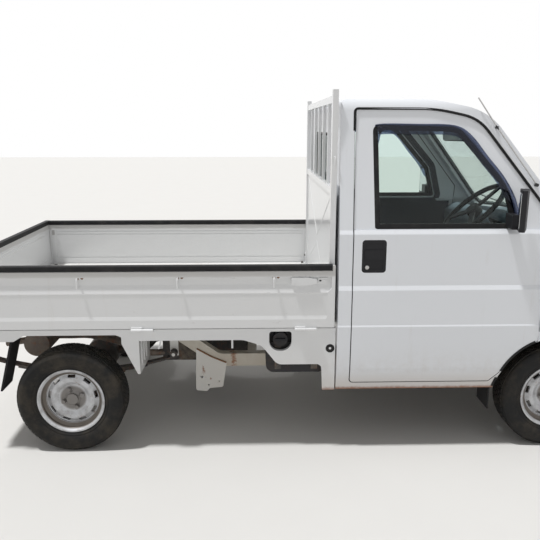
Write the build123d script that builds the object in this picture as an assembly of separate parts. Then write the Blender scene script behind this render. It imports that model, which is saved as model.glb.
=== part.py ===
from build123d import *
from math import cos, degrees, radians, sin, tan
import os

# Kei truck: X forward, Y to its left, Z up, ground at Z = 0, millimetres.
# Origin on the ground, midway along and across the truck.

# Driving dimensions of the whole truck
LENGTH = 3395.0
WHEELBASE = 2420.0
FRONT_OVERHANG = 425.0
TRACK = 1284.0
BODY_WIDTH = 1475.0
ROOF_HEIGHT = 1745.0
PANEL_GAP = 5.0
TOUCH_GAP = 0.3

FRONT_END = LENGTH / 2
REAR_END = -LENGTH / 2
FRONT_AXLE_X = FRONT_END - FRONT_OVERHANG
REAR_AXLE_X = FRONT_AXLE_X - WHEELBASE
HALF_WIDTH = BODY_WIDTH / 2
WHEEL_Y = TRACK / 2

# Wheels
TYRE_RADIUS = 268.0
TYRE_WIDTH = 145.0
TREAD_WIDTH = 112.0
BEAD_RADIUS = 155.0
RIM_FLANGE_RADIUS = 166.5
RIM_WIDTH = 116.0
RIM_WELL_RADIUS = 138.0
HUB_FACE_OUT = 12.0
BOLT_CIRCLE = 100.0
NUT_COUNT = 4
VENT_COUNT = 9
VENT_RADIUS = 117.0
VENT_LENGTH = 38.0
VENT_WIDTH = 15.0
CREST_RADIUS = 98.0
CREST_OUT = 24.0
HUB_CAP_RADIUS = 27.5
HUB_CAP_OUT = 34.0
NUT_ACROSS = 19.0

# Cab
CAB_BACK_X = 165.0
CAB_WALL = 36.0
SILL_BOTTOM = 322.0
DOOR_BOTTOM = 358.0
DOOR_REAR_X = 228.0
DOOR_FRONT_X = 1150.0
FLOOR_TOP = 425.0
FLOOR_THICKNESS = 30.0
FLOOR_HALF_WIDTH = 655.0
BELT_Z = 1112.0
SIDE_BOW = 100.0
ROOF_CROWN = 37.0
ARCH_RADIUS = 322.0
ARCH_RISE = 7.0
ARCH_INNER_Y = 408.0

# Bed
BED_FLOOR_TOP = 660.0
BED_FLOOR_THICKNESS = 30.0
GATE_BOTTOM = 650.0
GATE_TOP = 933.0
GATE_RAIL_TOP = 960.0
GATE_OUTER_Y = 722.0
GATE_THICKNESS = 28.0
GATE_FRONT_X = 150.0
GATE_HINGE_RISE = 5.0
HINGE_RADIUS = 7.0
HINGE_LENGTH = 52.0
HINGE_MIDDLES = (-1556.0, -773.0, 10.0)
TAIL_HINGE_MIDDLES = (-520.0, 0.0, 520.0)
SKIRT_BOTTOM = 586.0
SKIRT_OUTER_Y = 712.0
TAILGATE_THICKNESS = 24.0
HEADBOARD_TOP = 1757.0
HEADBOARD_X = 139.0
HEADBOARD_DEPTH = 30.0

# Frame
RAIL_Y = 372.0
RAIL_WIDTH = 50.0
RAIL_DEPTH = 70.0
RAIL_LOW_TOP = 395.0
RAIL_HIGH_TOP = 600.0
KICK_FRONT_X = -425.0
KICK_REAR_X = -710.0
RAIL_FRONT_X = 1480.0

SIDES = (("right", -1), ("left", 1))
AXLES = (("front", FRONT_AXLE_X), ("rear", REAR_AXLE_X))

HINGE_AXIS_Z = GATE_BOTTOM - GATE_HINGE_RISE
TAILGATE_AXIS_X = REAR_END + HINGE_RADIUS
TAILGATE_OUTER_X = TAILGATE_AXIS_X + 9.5
TAILGATE_INNER_X = TAILGATE_OUTER_X + TAILGATE_THICKNESS
GATE_REAR_X = TAILGATE_INNER_X + PANEL_GAP
GATE_AXIS_Y = GATE_OUTER_Y + 9.0
BED_HALF_WIDTH = GATE_OUTER_Y - GATE_THICKNESS - PANEL_GAP - 1.0
BED_REAR_X = GATE_REAR_X
RAIL_REAR_X = BED_REAR_X + 20
BED_FRONT_X = HEADBOARD_X - HEADBOARD_DEPTH / 2 - TOUCH_GAP


def outline(corners, place):
    """Closed wire through corners (a, b, radius); place(a, b) puts a point in space."""
    ends = []
    for number, (a, b, radius) in enumerate(corners):
        corner = Vector(a, b)
        back = (Vector(*corners[number - 1][:2]) - corner).normalized()
        ahead = (Vector(*corners[(number + 1) % len(corners)][:2]) - corner).normalized()
        if radius == 0:
            ends.append((corner, None, corner))
            continue
        half_angle = radians(back.get_angle(ahead)) / 2
        reach = radius / tan(half_angle)
        middle = corner + (back + ahead).normalized() * (radius / sin(half_angle) - radius)
        ends.append((corner + back * reach, middle, corner + ahead * reach))
    edges = []
    for number, (start, middle, end) in enumerate(ends):
        if middle is not None:
            edges.append(ThreePointArc(*(place(p.X, p.Y) for p in (start, middle, end))))
        following = ends[(number + 1) % len(ends)][0]
        if (following - end).length > 1e-6:
            edges.append(Line(place(end.X, end.Y), place(following.X, following.Y)))
    return Wire(edges)


def across_x(corners, start, end):
    """Prism whose outline corners are (y, z, radius), from X = start to X = end."""
    wire = outline(corners, lambda a, b: Vector(start, a, b))
    return extrude(Face(wire), amount=end - start, dir=(1, 0, 0))


def across_y(corners, start, end):
    """Prism whose outline corners are (x, z, radius), from Y = start to Y = end."""
    wire = outline(corners, lambda a, b: Vector(a, start, b))
    return extrude(Face(wire), amount=end - start, dir=(0, 1, 0))


def across_z(corners, start, end):
    """Prism whose outline corners are (x, y, radius), from Z = start to Z = end."""
    wire = outline(corners, lambda a, b: Vector(a, b, start))
    return extrude(Face(wire), amount=end - start, dir=(0, 0, 1))


def block(x0, x1, y0, y1, z0, z1):
    """Box between two corners."""
    return Pos((x0 + x1) / 2, (y0 + y1) / 2, (z0 + z1) / 2) * Box(abs(x1 - x0), abs(y1 - y0), abs(z1 - z0))


def rod(radius, start, end):
    """Round bar from one point to another."""
    start, end = Vector(*start), Vector(*end)
    upright = Cylinder(radius, (end - start).length, align=(Align.CENTER, Align.CENTER, Align.MIN))
    return Plane(start, z_dir=end - start) * upright


def turned_y(profile, x, y, z):
    """Solid turned about an axis along Y; profile corners are (radius, offset along Y, rounding)."""
    wire = outline(profile, lambda radius, along: Vector(x + radius, y + along, z))
    return revolve(Face(wire), Axis((x, y, z), (0, 1, 0)), 360)


def inset(corners, distance):
    """The same closed outline moved inward, all round, by a distance."""
    count = len(corners)
    area = sum(corners[i - 1][0] * corners[i][1] - corners[i][0] * corners[i - 1][1] for i in range(count))
    turn = 1 if area > 0 else -1
    moved = []
    for number, (a, b, radius) in enumerate(corners):
        before, after = corners[number - 1], corners[(number + 1) % count]
        d1 = Vector(a - before[0], b - before[1]).normalized()
        d2 = Vector(after[0] - a, after[1] - b).normalized()
        n1 = Vector(-d1.Y, d1.X) * turn
        n2 = Vector(-d2.Y, d2.X) * turn
        corner = Vector(a, b) + (n1 + n2) * (distance / (1 + n1.dot(n2)))
        bend = (d1.X * d2.Y - d1.Y * d2.X) * turn
        if radius and bend > 0:
            radius = max(radius - distance, 2.0)
        elif radius:
            radius = radius + distance
        moved.append((corner.X, corner.Y, radius))
    return moved


def save(name, shape):
    export_step(shape, f"parts/{name}.step")


os.makedirs("parts", exist_ok=True)

# Side view of the cab on its centre line, round from the rear bottom corner.
# Columns: x, z, corner radius, share of the bow that the side lacks, share of the crown that it lacks
CAB_SIDE_VIEW = (
    (CAB_BACK_X, SILL_BOTTOM, 0, 0, 0),
    (CAB_BACK_X, ROOF_HEIGHT, 28, 0, 1),
    (600, ROOF_HEIGHT, 900, 0.2, 1),
    (892, 1690, 300, 0.6, 0.9),
    (1392, 1085, 60, 1, -0.4),
    (1590, 955, 140, 0.9, 0.2),
    (1668, 620, 300, 0.8, 0),
    (1650, SILL_BOTTOM, 0, 0.8, 0),
)
# Half of the cab seen from the front. Columns: y, z, corner radius
CAB_FRONT_VIEW = (
    (704, SILL_BOTTOM, 0),
    (728, 420, 200),
    (HALF_WIDTH, 655, 0),
    (HALF_WIDTH - 3, 663, 0),
    (HALF_WIDTH - 3, 836, 6),
    (HALF_WIDTH - 11, 857, 6),
    (HALF_WIDTH - 14, 1104, 10),
    (HALF_WIDTH - 24, 1122, 10),
    (655, 1714, 58),
    (0, 1791, 0),
)
NOSE_CORNER_RADIUS = 150.0
NOSE_PLAN_X = 1705.0


def cab_solid(depth):
    """The cab's outer shape, moved inward by a depth and open below when the depth isn't zero."""
    lower = 60.0 if depth else 0.0
    sections = []
    for y in (-HALF_WIDTH - 2, 0, HALF_WIDTH + 2):
        side = abs(y) > 0
        corners = [(x - SIDE_BOW * bow * side, z - ROOF_CROWN * crown * side, radius)
                   for x, z, radius, bow, crown in CAB_SIDE_VIEW]
        if depth:
            corners = inset(corners, depth)
            corners[0] = (corners[0][0], SILL_BOTTOM - lower, 0)
            corners[-1] = (corners[-1][0], SILL_BOTTOM - lower, 0)
        sections.append(Face(outline(corners, lambda a, b, y=y: Vector(a, y, b))))
    body = loft(sections)
    half = list(CAB_FRONT_VIEW)
    front = half + [(-y, z, radius) for y, z, radius in reversed(half[:-1])]
    if depth:
        front = inset(front, depth)
        front[0] = (front[0][0], SILL_BOTTOM - lower, 0)
        front[-1] = (front[-1][0], SILL_BOTTOM - lower, 0)
    plan = [(0, -HALF_WIDTH - 5, 0), (NOSE_PLAN_X, -HALF_WIDTH - 5, NOSE_CORNER_RADIUS),
            (NOSE_PLAN_X, HALF_WIDTH + 5, NOSE_CORNER_RADIUS), (0, HALF_WIDTH + 5, 0)]
    if depth:
        plan = inset(plan, depth)
    body = body & across_x(front, 0, FRONT_END + 50)
    return body & across_z(plan, 0, ROOF_HEIGHT + 50)


# Door outline at the cab's skin, seen from the side. Columns: x, z, corner radius
DOOR_OUTLINE = (
    (DOOR_REAR_X, DOOR_BOTTOM, 22),
    (DOOR_REAR_X, 1674, 16),
    (600, 1673, 700),
    (800, 1630, 200),
    (DOOR_FRONT_X, 1201, 10),
    (DOOR_FRONT_X, 575, 8),
    (1062, 518, 260),
    (966, 400, 160),
    (926, DOOR_BOTTOM, 12),
)
# Window opening in the door. Columns: x, z, corner radius
WINDOW_OUTLINE = (
    (332, 1126, 12),
    (312, 1604, 30),
    (712, 1594, 90),
    (955, 1325, 60),
    (1010, 1126, 12),
)
DOOR_FRAME_IN = 8.0
DOOR_CARD = 28.0
DOOR_CARD_EDGE = 16.0
GLASS_DEPTH = 14.0
GLASS_THICKNESS = 5.0
SCREEN_HEIGHT = 700.0
SCREEN_FOOT = 48.0

outer = cab_solid(0)
glass_front = cab_solid(GLASS_DEPTH)
glass_back = cab_solid(GLASS_DEPTH + GLASS_THICKNESS)
inner = cab_solid(CAB_WALL)
card_back = cab_solid(CAB_WALL + DOOR_CARD)
shell = outer - inner

floor_bottom = FLOOR_TOP - FLOOR_THICKNESS

# Front wheel openings, right through the body side, and the space for each wheel
arch_z = TYRE_RADIUS + ARCH_RISE
arches = Part()
for side, sign in SIDES:
    arches += rod(ARCH_RADIUS, (FRONT_AXLE_X, sign * ARCH_INNER_Y, arch_z), (FRONT_AXLE_X, sign * 800, arch_z))
shell -= arches

# Windscreen opening: a frame standing square to the screen
screen_foot = Vector(CAB_SIDE_VIEW[4][0], 0, CAB_SIDE_VIEW[4][1])
screen_head = Vector(CAB_SIDE_VIEW[3][0], 0, CAB_SIDE_VIEW[3][1])
screen_up = (screen_head - screen_foot).normalized()
screen_out = Vector(screen_up.Z, 0, -screen_up.X)
screen_plane = Plane(screen_foot, x_dir=(0, 1, 0), z_dir=screen_out)


def screen_prism(margin):
    """Windscreen outline, wider by a margin, through the cab's front wall."""
    corners = [(-648 - margin, SCREEN_FOOT - margin, 60), (648 + margin, SCREEN_FOOT - margin, 60),
               (572 + margin, SCREEN_HEIGHT + margin, 50), (-572 - margin, SCREEN_HEIGHT + margin, 50)]
    place = screen_plane.offset(-260)
    wire = outline(corners, lambda a, b: place.from_local_coords(Vector(a, b, 0)))
    return extrude(Face(wire), amount=400, dir=screen_out)


REAR_WINDOW = ((-430, 1190, 40), (430, 1190, 40), (410, 1560, 40), (-410, 1560, 40))
rear_window_hole = across_x(REAR_WINDOW, CAB_BACK_X - 20, CAB_BACK_X + 80)

door_openings = Part()
window_holes = Part()
for side, sign in SIDES:
    door_openings += across_y(DOOR_OUTLINE, sign * 560, sign * 800)
    window_holes += across_y(WINDOW_OUTLINE, sign * 560, sign * 800)
frame_shell = shell - door_openings - screen_prism(0) - rear_window_hole

# Door hinges, slim barrels in the gap ahead of the door; the door's own half stands on the fixed one
DOOR_AXIS_X = DOOR_FRONT_X - PANEL_GAP / 2
DOOR_AXIS_Y = HALF_WIDTH
DOOR_PIN_RADIUS = 2.2
DOOR_HINGES = (600.0, 780.0)
DOOR_HINGE_HALF = 25.0
DOOR_HINGE_WEB = 10.0


def door_hinge(sign, low, carrier_x):
    """Half of a door hinge from a height upward, with its web to the panel edge that carries it."""
    high = low + DOOR_HINGE_HALF
    pin = rod(DOOR_PIN_RADIUS, (DOOR_AXIS_X, sign * DOOR_AXIS_Y, low), (DOOR_AXIS_X, sign * DOOR_AXIS_Y, high))
    inner_y = sign * (DOOR_AXIS_Y - DOOR_HINGE_WEB)
    return pin + block(DOOR_AXIS_X, carrier_x, inner_y, sign * DOOR_AXIS_Y, low, high)


# Lamps and grille are let into the nose. Columns: y, z, corner radius
HEAD_LAMP = ((395, 700, 14), (655, 720, 20), (672, 850, 26), (400, 812, 14))
TURN_LAMP = ((676, 722, 8), (716, 735, 8), (716, 862, 8), (694, 857, 8))
GRILLE = ((-370, 735, 16), (370, 735, 16), (360, 800, 16), (-360, 800, 16))
GRILLE_SLOTS = 3
GRILLE_SLOT_Z = 747.0
GRILLE_PITCH = 16.0
GRILLE_SLOT = 9.0
GRILLE_SLOT_HALF = 350.0
BUMPER_TOP = 560.0
BUMPER_BOTTOM = 285.0
PLATE_HOLES = 210.0
PLATE_HOLE_RADIUS = 3.5
FRONT_PLATE_Z = 450.0
REAR_PLATE_Z = 585.0

lamp_holes = Part()
for side, sign in SIDES:
    lamp_holes += across_x([(sign * y, z, r) for y, z, r in HEAD_LAMP], 1380, 1720)
    lamp_holes += across_x([(sign * y, z, r) for y, z, r in TURN_LAMP], 1380, 1720)
grille_hole = across_x(GRILLE, 1500, 1720)

# The cab's fixed panels, parted where the real ones meet
ROOF_PART = ((CAB_BACK_X + CAB_WALL, 1686, 0), (620, 1686, 0), (905, 1560, 0), (1010, 1650, 0),
             (900, 1900, 0), (CAB_BACK_X + CAB_WALL, 1900, 0))
NOSE_PART = ((DOOR_FRONT_X + 4, 0, 0), (DOOR_FRONT_X + 4, 1100, 0), (1262, 1100, 0), (1380, 1180, 0),
             (1800, 1180, 0), (1800, 0, 0))
back_zone = block(0, CAB_BACK_X + CAB_WALL, -800, 800, 0, 1900)
roof_zone = across_y(ROOF_PART, -800, 800)
nose_zone = across_y(NOSE_PART, -800, 800)

cab_back = (frame_shell & back_zone) - block(0, 300, -FLOOR_HALF_WIDTH, FLOOR_HALF_WIDTH, 0, floor_bottom)
roof = frame_shell & roof_zone
nose_panel = (frame_shell & nose_zone) - lamp_holes - grille_hole
nose_panel -= block(1000, 1800, -800, 800, 0, BUMPER_TOP)
cab_sides = frame_shell - back_zone - roof_zone - nose_zone
for side, sign in SIDES:
    for low in DOOR_HINGES:
        cab_sides += door_hinge(sign, low - DOOR_HINGE_HALF - TOUCH_GAP, DOOR_FRONT_X)
head_lamps = (shell & lamp_holes)
grille = shell & grille_hole
for row in range(GRILLE_SLOTS):
    z = GRILLE_SLOT_Z + row * GRILLE_PITCH
    grille -= block(1500, 1720, -GRILLE_SLOT_HALF, GRILLE_SLOT_HALF, z, z + GRILLE_SLOT)
save("cab_back", cab_back)
save("roof", roof)
save("nose_panel", nose_panel)
save("cab_sides", cab_sides)
save("head_lamps", head_lamps)
save("grille", grille)

glass_skin = glass_front - glass_back
windscreen = glass_skin & screen_prism(0)
rear_window = glass_skin & rear_window_hole
save("cab_glass", windscreen + rear_window)

# Front bumper wraps the nose below the lamps
BUMPER_REAR_X = 1380.0
BUMPER_WALL = 40.0
BUMPER_DEPTH = 60.0
BUMPER_CORNER_RADIUS = 170.0
BUMPER_STEP = 40.0
bumper_inner_y = HALF_WIDTH - BUMPER_WALL
bumper_inner_x = FRONT_END - BUMPER_DEPTH
bumper = across_z([(BUMPER_REAR_X, -HALF_WIDTH, 0), (FRONT_END, -HALF_WIDTH, BUMPER_CORNER_RADIUS),
                   (FRONT_END, HALF_WIDTH, BUMPER_CORNER_RADIUS), (BUMPER_REAR_X, HALF_WIDTH, 0)],
                  BUMPER_BOTTOM, BUMPER_TOP)
bumper -= across_z([(1300, -bumper_inner_y, 0),
                    (bumper_inner_x, -bumper_inner_y, BUMPER_CORNER_RADIUS - BUMPER_WALL),
                    (bumper_inner_x, bumper_inner_y, BUMPER_CORNER_RADIUS - BUMPER_WALL), (1300,
                                                                                           bumper_inner_y, 0)],
                   BUMPER_BOTTOM - 5, BUMPER_TOP + 5)
bumper -= arches
bumper -= block(BUMPER_REAR_X - 150, FRONT_AXLE_X + ARCH_RADIUS - 4, -800, 800, BUMPER_BOTTOM - 10,
                BUMPER_BOTTOM + BUMPER_STEP)
for y in (-PLATE_HOLES / 2, PLATE_HOLES / 2):
    bumper -= rod(PLATE_HOLE_RADIUS, (FRONT_END - 80, y, FRONT_PLATE_Z), (FRONT_END + 10, y, FRONT_PLATE_Z))
save("front_bumper", bumper)

# Cab floor with its seat box, toe board and wheel tubs
TUB_WALL = 6.0
FIREWALL_X = 1345.0
FIREWALL_THICKNESS = 20.0
FIREWALL_TOP = 985.0
FIREWALL_HALF = 640.0
FIREWALL_WING_BOTTOM = 590.0
SEAT_BOX_FRONT = 820.0
SEAT_BOX_TOP = 600.0
SEAT_BOX_HALF = 600.0
SEAT_BOX_WALL = 25.0
SILL_END_X = 920.0
SILL_INNER_Y = 640.0
SILL_OUTER_Y = 668.0
SILL_STEP_BOTTOM = 325.0
floor_rear_x = CAB_BACK_X + CAB_WALL
firewall_back_x = FIREWALL_X + FIREWALL_THICKNESS
tub_inner_y = ARCH_INNER_Y - TUB_WALL
tub_rear_x = FRONT_AXLE_X - ARCH_RADIUS - TUB_WALL
floor = block(floor_rear_x, tub_rear_x, -FLOOR_HALF_WIDTH, FLOOR_HALF_WIDTH, floor_bottom, FLOOR_TOP)
floor += block(tub_rear_x, FIREWALL_X, -tub_inner_y, tub_inner_y, floor_bottom, FLOOR_TOP)
floor += block(FIREWALL_X, firewall_back_x, -tub_inner_y, tub_inner_y, floor_bottom, FIREWALL_TOP)
floor += block(FIREWALL_X, firewall_back_x, -FIREWALL_HALF, FIREWALL_HALF, FIREWALL_WING_BOTTOM, FIREWALL_TOP)
floor += block(floor_rear_x, SEAT_BOX_FRONT, -SEAT_BOX_HALF, SEAT_BOX_HALF, floor_bottom, SEAT_BOX_TOP)
floor -= block(floor_rear_x - 5, SEAT_BOX_FRONT - SEAT_BOX_WALL, SEAT_BOX_WALL - SEAT_BOX_HALF,
               SEAT_BOX_HALF - SEAT_BOX_WALL, 300, SEAT_BOX_TOP - SEAT_BOX_WALL)
for side, sign in SIDES:
    tub = rod(ARCH_RADIUS + TUB_WALL, (FRONT_AXLE_X, sign * tub_inner_y, arch_z),
              (FRONT_AXLE_X, sign * FLOOR_HALF_WIDTH, arch_z))
    floor += tub & block(900, 1640, -800, 800, floor_bottom, 700)
    floor += block(floor_rear_x, SILL_END_X, sign * SILL_INNER_Y, sign * FLOOR_HALF_WIDTH, SILL_STEP_BOTTOM,
                   FLOOR_TOP)
    floor += block(floor_rear_x, SILL_END_X, sign * SILL_INNER_Y, sign * SILL_OUTER_Y, SILL_STEP_BOTTOM,
                   DOOR_BOTTOM - 6)
floor -= arches
save("cab_floor", floor)

# Doors. Handle plate's columns: x, z, corner radius. Mirror head's columns: x, distance from the middle, radius
HANDLE = ((272, 921, 16), (272, 1078, 16), (387, 1078, 16), (387, 921, 16))
HANDLE_BOTTOM_Y = 723.0
HANDLE_LEVER = (285, 374, 985, 1030)
MIRROR_PLAN = ((985, 742, 12), (950, 850, 9), (972, 858, 9), (1030, 752, 22))
MIRROR_BOTTOM = 1132.0
MIRROR_TOP = 1318.0
MIRROR_STALK = ((1000, MIRROR_BOTTOM, 4), (982, 1200, 4), (950, 1200, 4), (950, MIRROR_BOTTOM, 4))
DOOR_REACH = DOOR_AXIS_X - DOOR_REAR_X - PANEL_GAP
window_frame_zone = block(0, 1400, -800, 800, BELT_Z + 10, 1900)
door_skin = (outer - window_frame_zone) + (cab_solid(DOOR_FRAME_IN) & window_frame_zone)
upper_wall = door_skin - inner
lower_wall = inner - card_back
for side, sign in SIDES:
    edge = across_y(inset(DOOR_OUTLINE, PANEL_GAP), sign * 560, sign * 800)
    card_edge = across_y(inset(DOOR_OUTLINE, DOOR_CARD_EDGE), sign * 560, sign * 800)
    sweep = rod(DOOR_REACH, (DOOR_AXIS_X, sign * DOOR_AXIS_Y, 0), (DOOR_AXIS_X, sign * DOOR_AXIS_Y, 1900))
    window = across_y(WINDOW_OUTLINE, sign * 560, sign * 800)
    door = upper_wall & edge & sweep
    card = lower_wall & card_edge & sweep & block(0, 1400, -800, 800, 0, BELT_Z)
    door = door + card - window
    handle_hole = across_y(HANDLE, sign * 714, sign * 800)
    door -= handle_hole
    for low in DOOR_HINGES:
        door += door_hinge(sign, low, DOOR_FRONT_X - PANEL_GAP)
    save(f"door_{side}_shell", door)
    glass = glass_skin & across_y(WINDOW_OUTLINE, sign * 560, sign * 800)
    save(f"door_{side}_glass", glass)
    handle = (outer & handle_hole) - across_y(inset(HANDLE, 14), sign * HANDLE_BOTTOM_Y, sign * 800)
    lever_x0, lever_x1, lever_z0, lever_z1 = HANDLE_LEVER
    handle += block(lever_x0, lever_x1, sign * (HANDLE_BOTTOM_Y - 7), sign * (HANDLE_BOTTOM_Y + 5), lever_z0,
                    lever_z1)
    stalk = across_y(MIRROR_STALK, sign * 640, sign * 775)
    mirror_head = across_z([(x, sign * y, r) for x, y, r in MIRROR_PLAN], MIRROR_BOTTOM, MIRROR_TOP)
    fittings = handle + (stalk - glass_front) + mirror_head
    save(f"door_{side}_fittings", fittings)

# Dashboard with the steering column
STEERING_CENTRE = (925.0, -330.0, 1165.0)
STEERING_RADIUS = 185.0
STEERING_GRIP = 13.0
COLUMN_TILT = 48.0
column_dir = Vector(-cos(radians(COLUMN_TILT)), 0, sin(radians(COLUMN_TILT)))
centre = Vector(*STEERING_CENTRE)
COLUMN_RADIUS = 28.0
COLUMN_FOOT = 330.0
COLUMN_HEAD = 30.0
DASH = ((1090, 880, 30), (1075, 1040, 50), (1140, 1095, 50), (1230, 1080, 40), (FIREWALL_X, FIREWALL_TOP, 0),
        (FIREWALL_X, 860, 0))
DASH_WALL = 14.0
DASH_HALF = 640.0
DASH_HOLLOW_HALF = 560.0
DASH_HOLLOW_TOP = 1060.0
dashboard = across_y(DASH, -DASH_HALF, DASH_HALF)
dashboard -= (across_y(inset(DASH, DASH_WALL), -DASH_HOLLOW_HALF, DASH_HOLLOW_HALF)
              & block(1000, 1600, -DASH_HOLLOW_HALF, DASH_HOLLOW_HALF, 0, DASH_HOLLOW_TOP))
dashboard += rod(COLUMN_RADIUS, centre - column_dir * COLUMN_FOOT, centre - column_dir * COLUMN_HEAD)
save("dashboard", dashboard)

wheel_plane = Plane(centre, z_dir=column_dir)
grip = wheel_plane * Torus(STEERING_RADIUS, STEERING_GRIP)
hub = rod(38, centre - column_dir * (COLUMN_HEAD - TOUCH_GAP), centre + column_dir * 18)
SPOKE_WIDTH = 30.0
SPOKE_THICKNESS = 10.0
spokes = Part()
for turn in (0, 120, 240):
    spoke = Box(STEERING_RADIUS - 8, SPOKE_WIDTH, SPOKE_THICKNESS)
    spokes += wheel_plane * Rot(0, 0, turn) * Pos(STEERING_RADIUS / 2, 0, 0) * spoke
save("steering_wheel", grip + hub + spokes)

# Seats: cushion and back, one pair on each side
SEAT_Y = 335.0
SEAT_BACK_X = CAB_BACK_X + CAB_WALL + TOUCH_GAP
CUSHION_HALF = 250.0
BACK_HALF = 240.0
CUSHION = ((330, SEAT_BOX_TOP, 0), (322, 700, 40), (790, 735, 45), (815, SEAT_BOX_TOP, 0))
BACKREST = ((SEAT_BACK_X, 703, 20), (SEAT_BACK_X, 1330, 40), (285, 1330, 40), (318, 1050, 300), (404, 730, 20),
            (396, 709, 8))
seats = Part()
for side, sign in SIDES:
    middle = sign * SEAT_Y
    seats += across_y(CUSHION, middle - CUSHION_HALF, middle + CUSHION_HALF)
    seats += across_y(BACKREST, middle - BACK_HALF, middle + BACK_HALF)
save("seats", seats)

# Wheels
TYRE_PROFILE = (
    (BEAD_RADIUS, -RIM_WIDTH / 2 + 8, 0), (BEAD_RADIUS + 16, -RIM_WIDTH / 2 + 8, 0), (225, -TYRE_WIDTH / 2, 0),
    (258, -TREAD_WIDTH / 2 - 6, 0), (TYRE_RADIUS, -TREAD_WIDTH / 2 + 12, 0), (TYRE_RADIUS,
                                                                              TREAD_WIDTH / 2 - 12, 0),
    (258, TREAD_WIDTH / 2 + 6, 0), (225, TYRE_WIDTH / 2, 0), (BEAD_RADIUS + 16, RIM_WIDTH / 2 - 8, 0),
    (BEAD_RADIUS, RIM_WIDTH / 2 - 8, 0),
)
# Half section of the rim. Columns: radius, offset outward, corner radius
RIM_PROFILE = (
    (RIM_FLANGE_RADIUS, -RIM_WIDTH / 2, 0), (RIM_FLANGE_RADIUS, -RIM_WIDTH / 2 + 7, 0),
    (BEAD_RADIUS - 1, -RIM_WIDTH / 2 + 7, 0), (BEAD_RADIUS - 1, -32, 0), (RIM_WELL_RADIUS, -22, 0),
    (RIM_WELL_RADIUS, 22, 0), (BEAD_RADIUS - 1, 32, 0), (BEAD_RADIUS - 1, RIM_WIDTH / 2 - 7, 0),
    (RIM_FLANGE_RADIUS, RIM_WIDTH / 2 - 7, 0), (RIM_FLANGE_RADIUS, RIM_WIDTH / 2, 0),
    (RIM_FLANGE_RADIUS - 7, RIM_WIDTH / 2, 3), (BEAD_RADIUS - 8, RIM_WIDTH / 2 - 12, 4),
    (BEAD_RADIUS - 8, 34, 0), (RIM_WELL_RADIUS - 7, 24, 0), (RIM_WELL_RADIUS - 7, 12, 4),
    (CREST_RADIUS + 8, CREST_OUT, 10), (CREST_RADIUS - 8, CREST_OUT, 10), (72, HUB_FACE_OUT + 2, 8),
    (42, HUB_FACE_OUT + 2, 8), (HUB_CAP_RADIUS + 2, HUB_FACE_OUT + 10, 0), (0, HUB_FACE_OUT + 10, 0),
    (0, HUB_FACE_OUT - 8, 0), (76, HUB_FACE_OUT - 8, 0), (CREST_RADIUS, CREST_OUT - 8, 0),
    (RIM_WELL_RADIUS - 7, 0, 0), (RIM_WELL_RADIUS - 7, -24, 0), (BEAD_RADIUS - 8, -34, 0),
    (BEAD_RADIUS - 8, -RIM_WIDTH / 2 + 12, 0), (RIM_FLANGE_RADIUS - 7, -RIM_WIDTH / 2, 0),
)
NUT_HEIGHT = 18.0


def make_rim(x, y, sign):
    """One pressed steel wheel with its vents, nuts and hub cap, its face towards sign times Y."""
    rim = turned_y([(radius, sign * along, bend) for radius, along, bend in RIM_PROFILE], x, y, TYRE_RADIUS)
    for number in range(VENT_COUNT):
        angle = radians(90 + number * 360 / VENT_COUNT)
        at = (x + VENT_RADIUS * cos(angle), y, TYRE_RADIUS + VENT_RADIUS * sin(angle))
        vent = Box(VENT_LENGTH, 60, VENT_WIDTH)
        rim -= Pos(*at) * Rot(0, -degrees(angle) + 90, 0) * vent
    for number in range(NUT_COUNT):
        angle = radians(20 + number * 360 / NUT_COUNT)
        nut_x = x + BOLT_CIRCLE / 2 * cos(angle)
        nut_z = TYRE_RADIUS + BOLT_CIRCLE / 2 * sin(angle)
        seat = Plane((nut_x, y + sign * (HUB_FACE_OUT - 2), nut_z), z_dir=(0, sign, 0))
        rim += seat * extrude(RegularPolygon(NUT_ACROSS / 2, 6, major_radius=False), amount=NUT_HEIGHT + 2)
    rim += rod(HUB_CAP_RADIUS, (x, y + sign * HUB_FACE_OUT, TYRE_RADIUS),
               (x, y + sign * HUB_CAP_OUT, TYRE_RADIUS))
    return rim


for axle, x in AXLES:
    for side, sign in SIDES:
        y = sign * WHEEL_Y
        save(f"tyre_{axle}_{side}", turned_y(TYRE_PROFILE, x, y, TYRE_RADIUS))
        save(f"rim_{axle}_{side}", make_rim(x, y, sign))

# Rear axle: tube, differential and the drums inside the wheels
hub_face_y = WHEEL_Y + HUB_FACE_OUT - 8
DRUM_RADIUS = 112.0
DRUM_WIDTH = 42.0
DRUM_IN = 14.0
AXLE_TUBE_RADIUS = 36.0
AXLE_TUBE_HALF = 560.0
DIFFERENTIAL_RADIUS = 95.0
DIFFERENTIAL_HALF = 70.0
HUB_RADIUS = 55.0
HUB_INNER_Y = 540.0
rear_axle = rod(AXLE_TUBE_RADIUS, (REAR_AXLE_X, -AXLE_TUBE_HALF, TYRE_RADIUS),
                (REAR_AXLE_X, AXLE_TUBE_HALF, TYRE_RADIUS))
rear_axle += rod(DIFFERENTIAL_RADIUS, (REAR_AXLE_X, -DIFFERENTIAL_HALF, TYRE_RADIUS),
                 (REAR_AXLE_X, DIFFERENTIAL_HALF, TYRE_RADIUS))
for side, sign in SIDES:
    rear_axle += rod(DRUM_RADIUS, (REAR_AXLE_X, sign * (hub_face_y - DRUM_IN - DRUM_WIDTH), TYRE_RADIUS),
                     (REAR_AXLE_X, sign * (hub_face_y - DRUM_IN), TYRE_RADIUS))
    rear_axle += rod(HUB_RADIUS, (REAR_AXLE_X, sign * HUB_INNER_Y, TYRE_RADIUS),
                     (REAR_AXLE_X, sign * hub_face_y, TYRE_RADIUS))
save("rear_axle", rear_axle)

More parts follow.
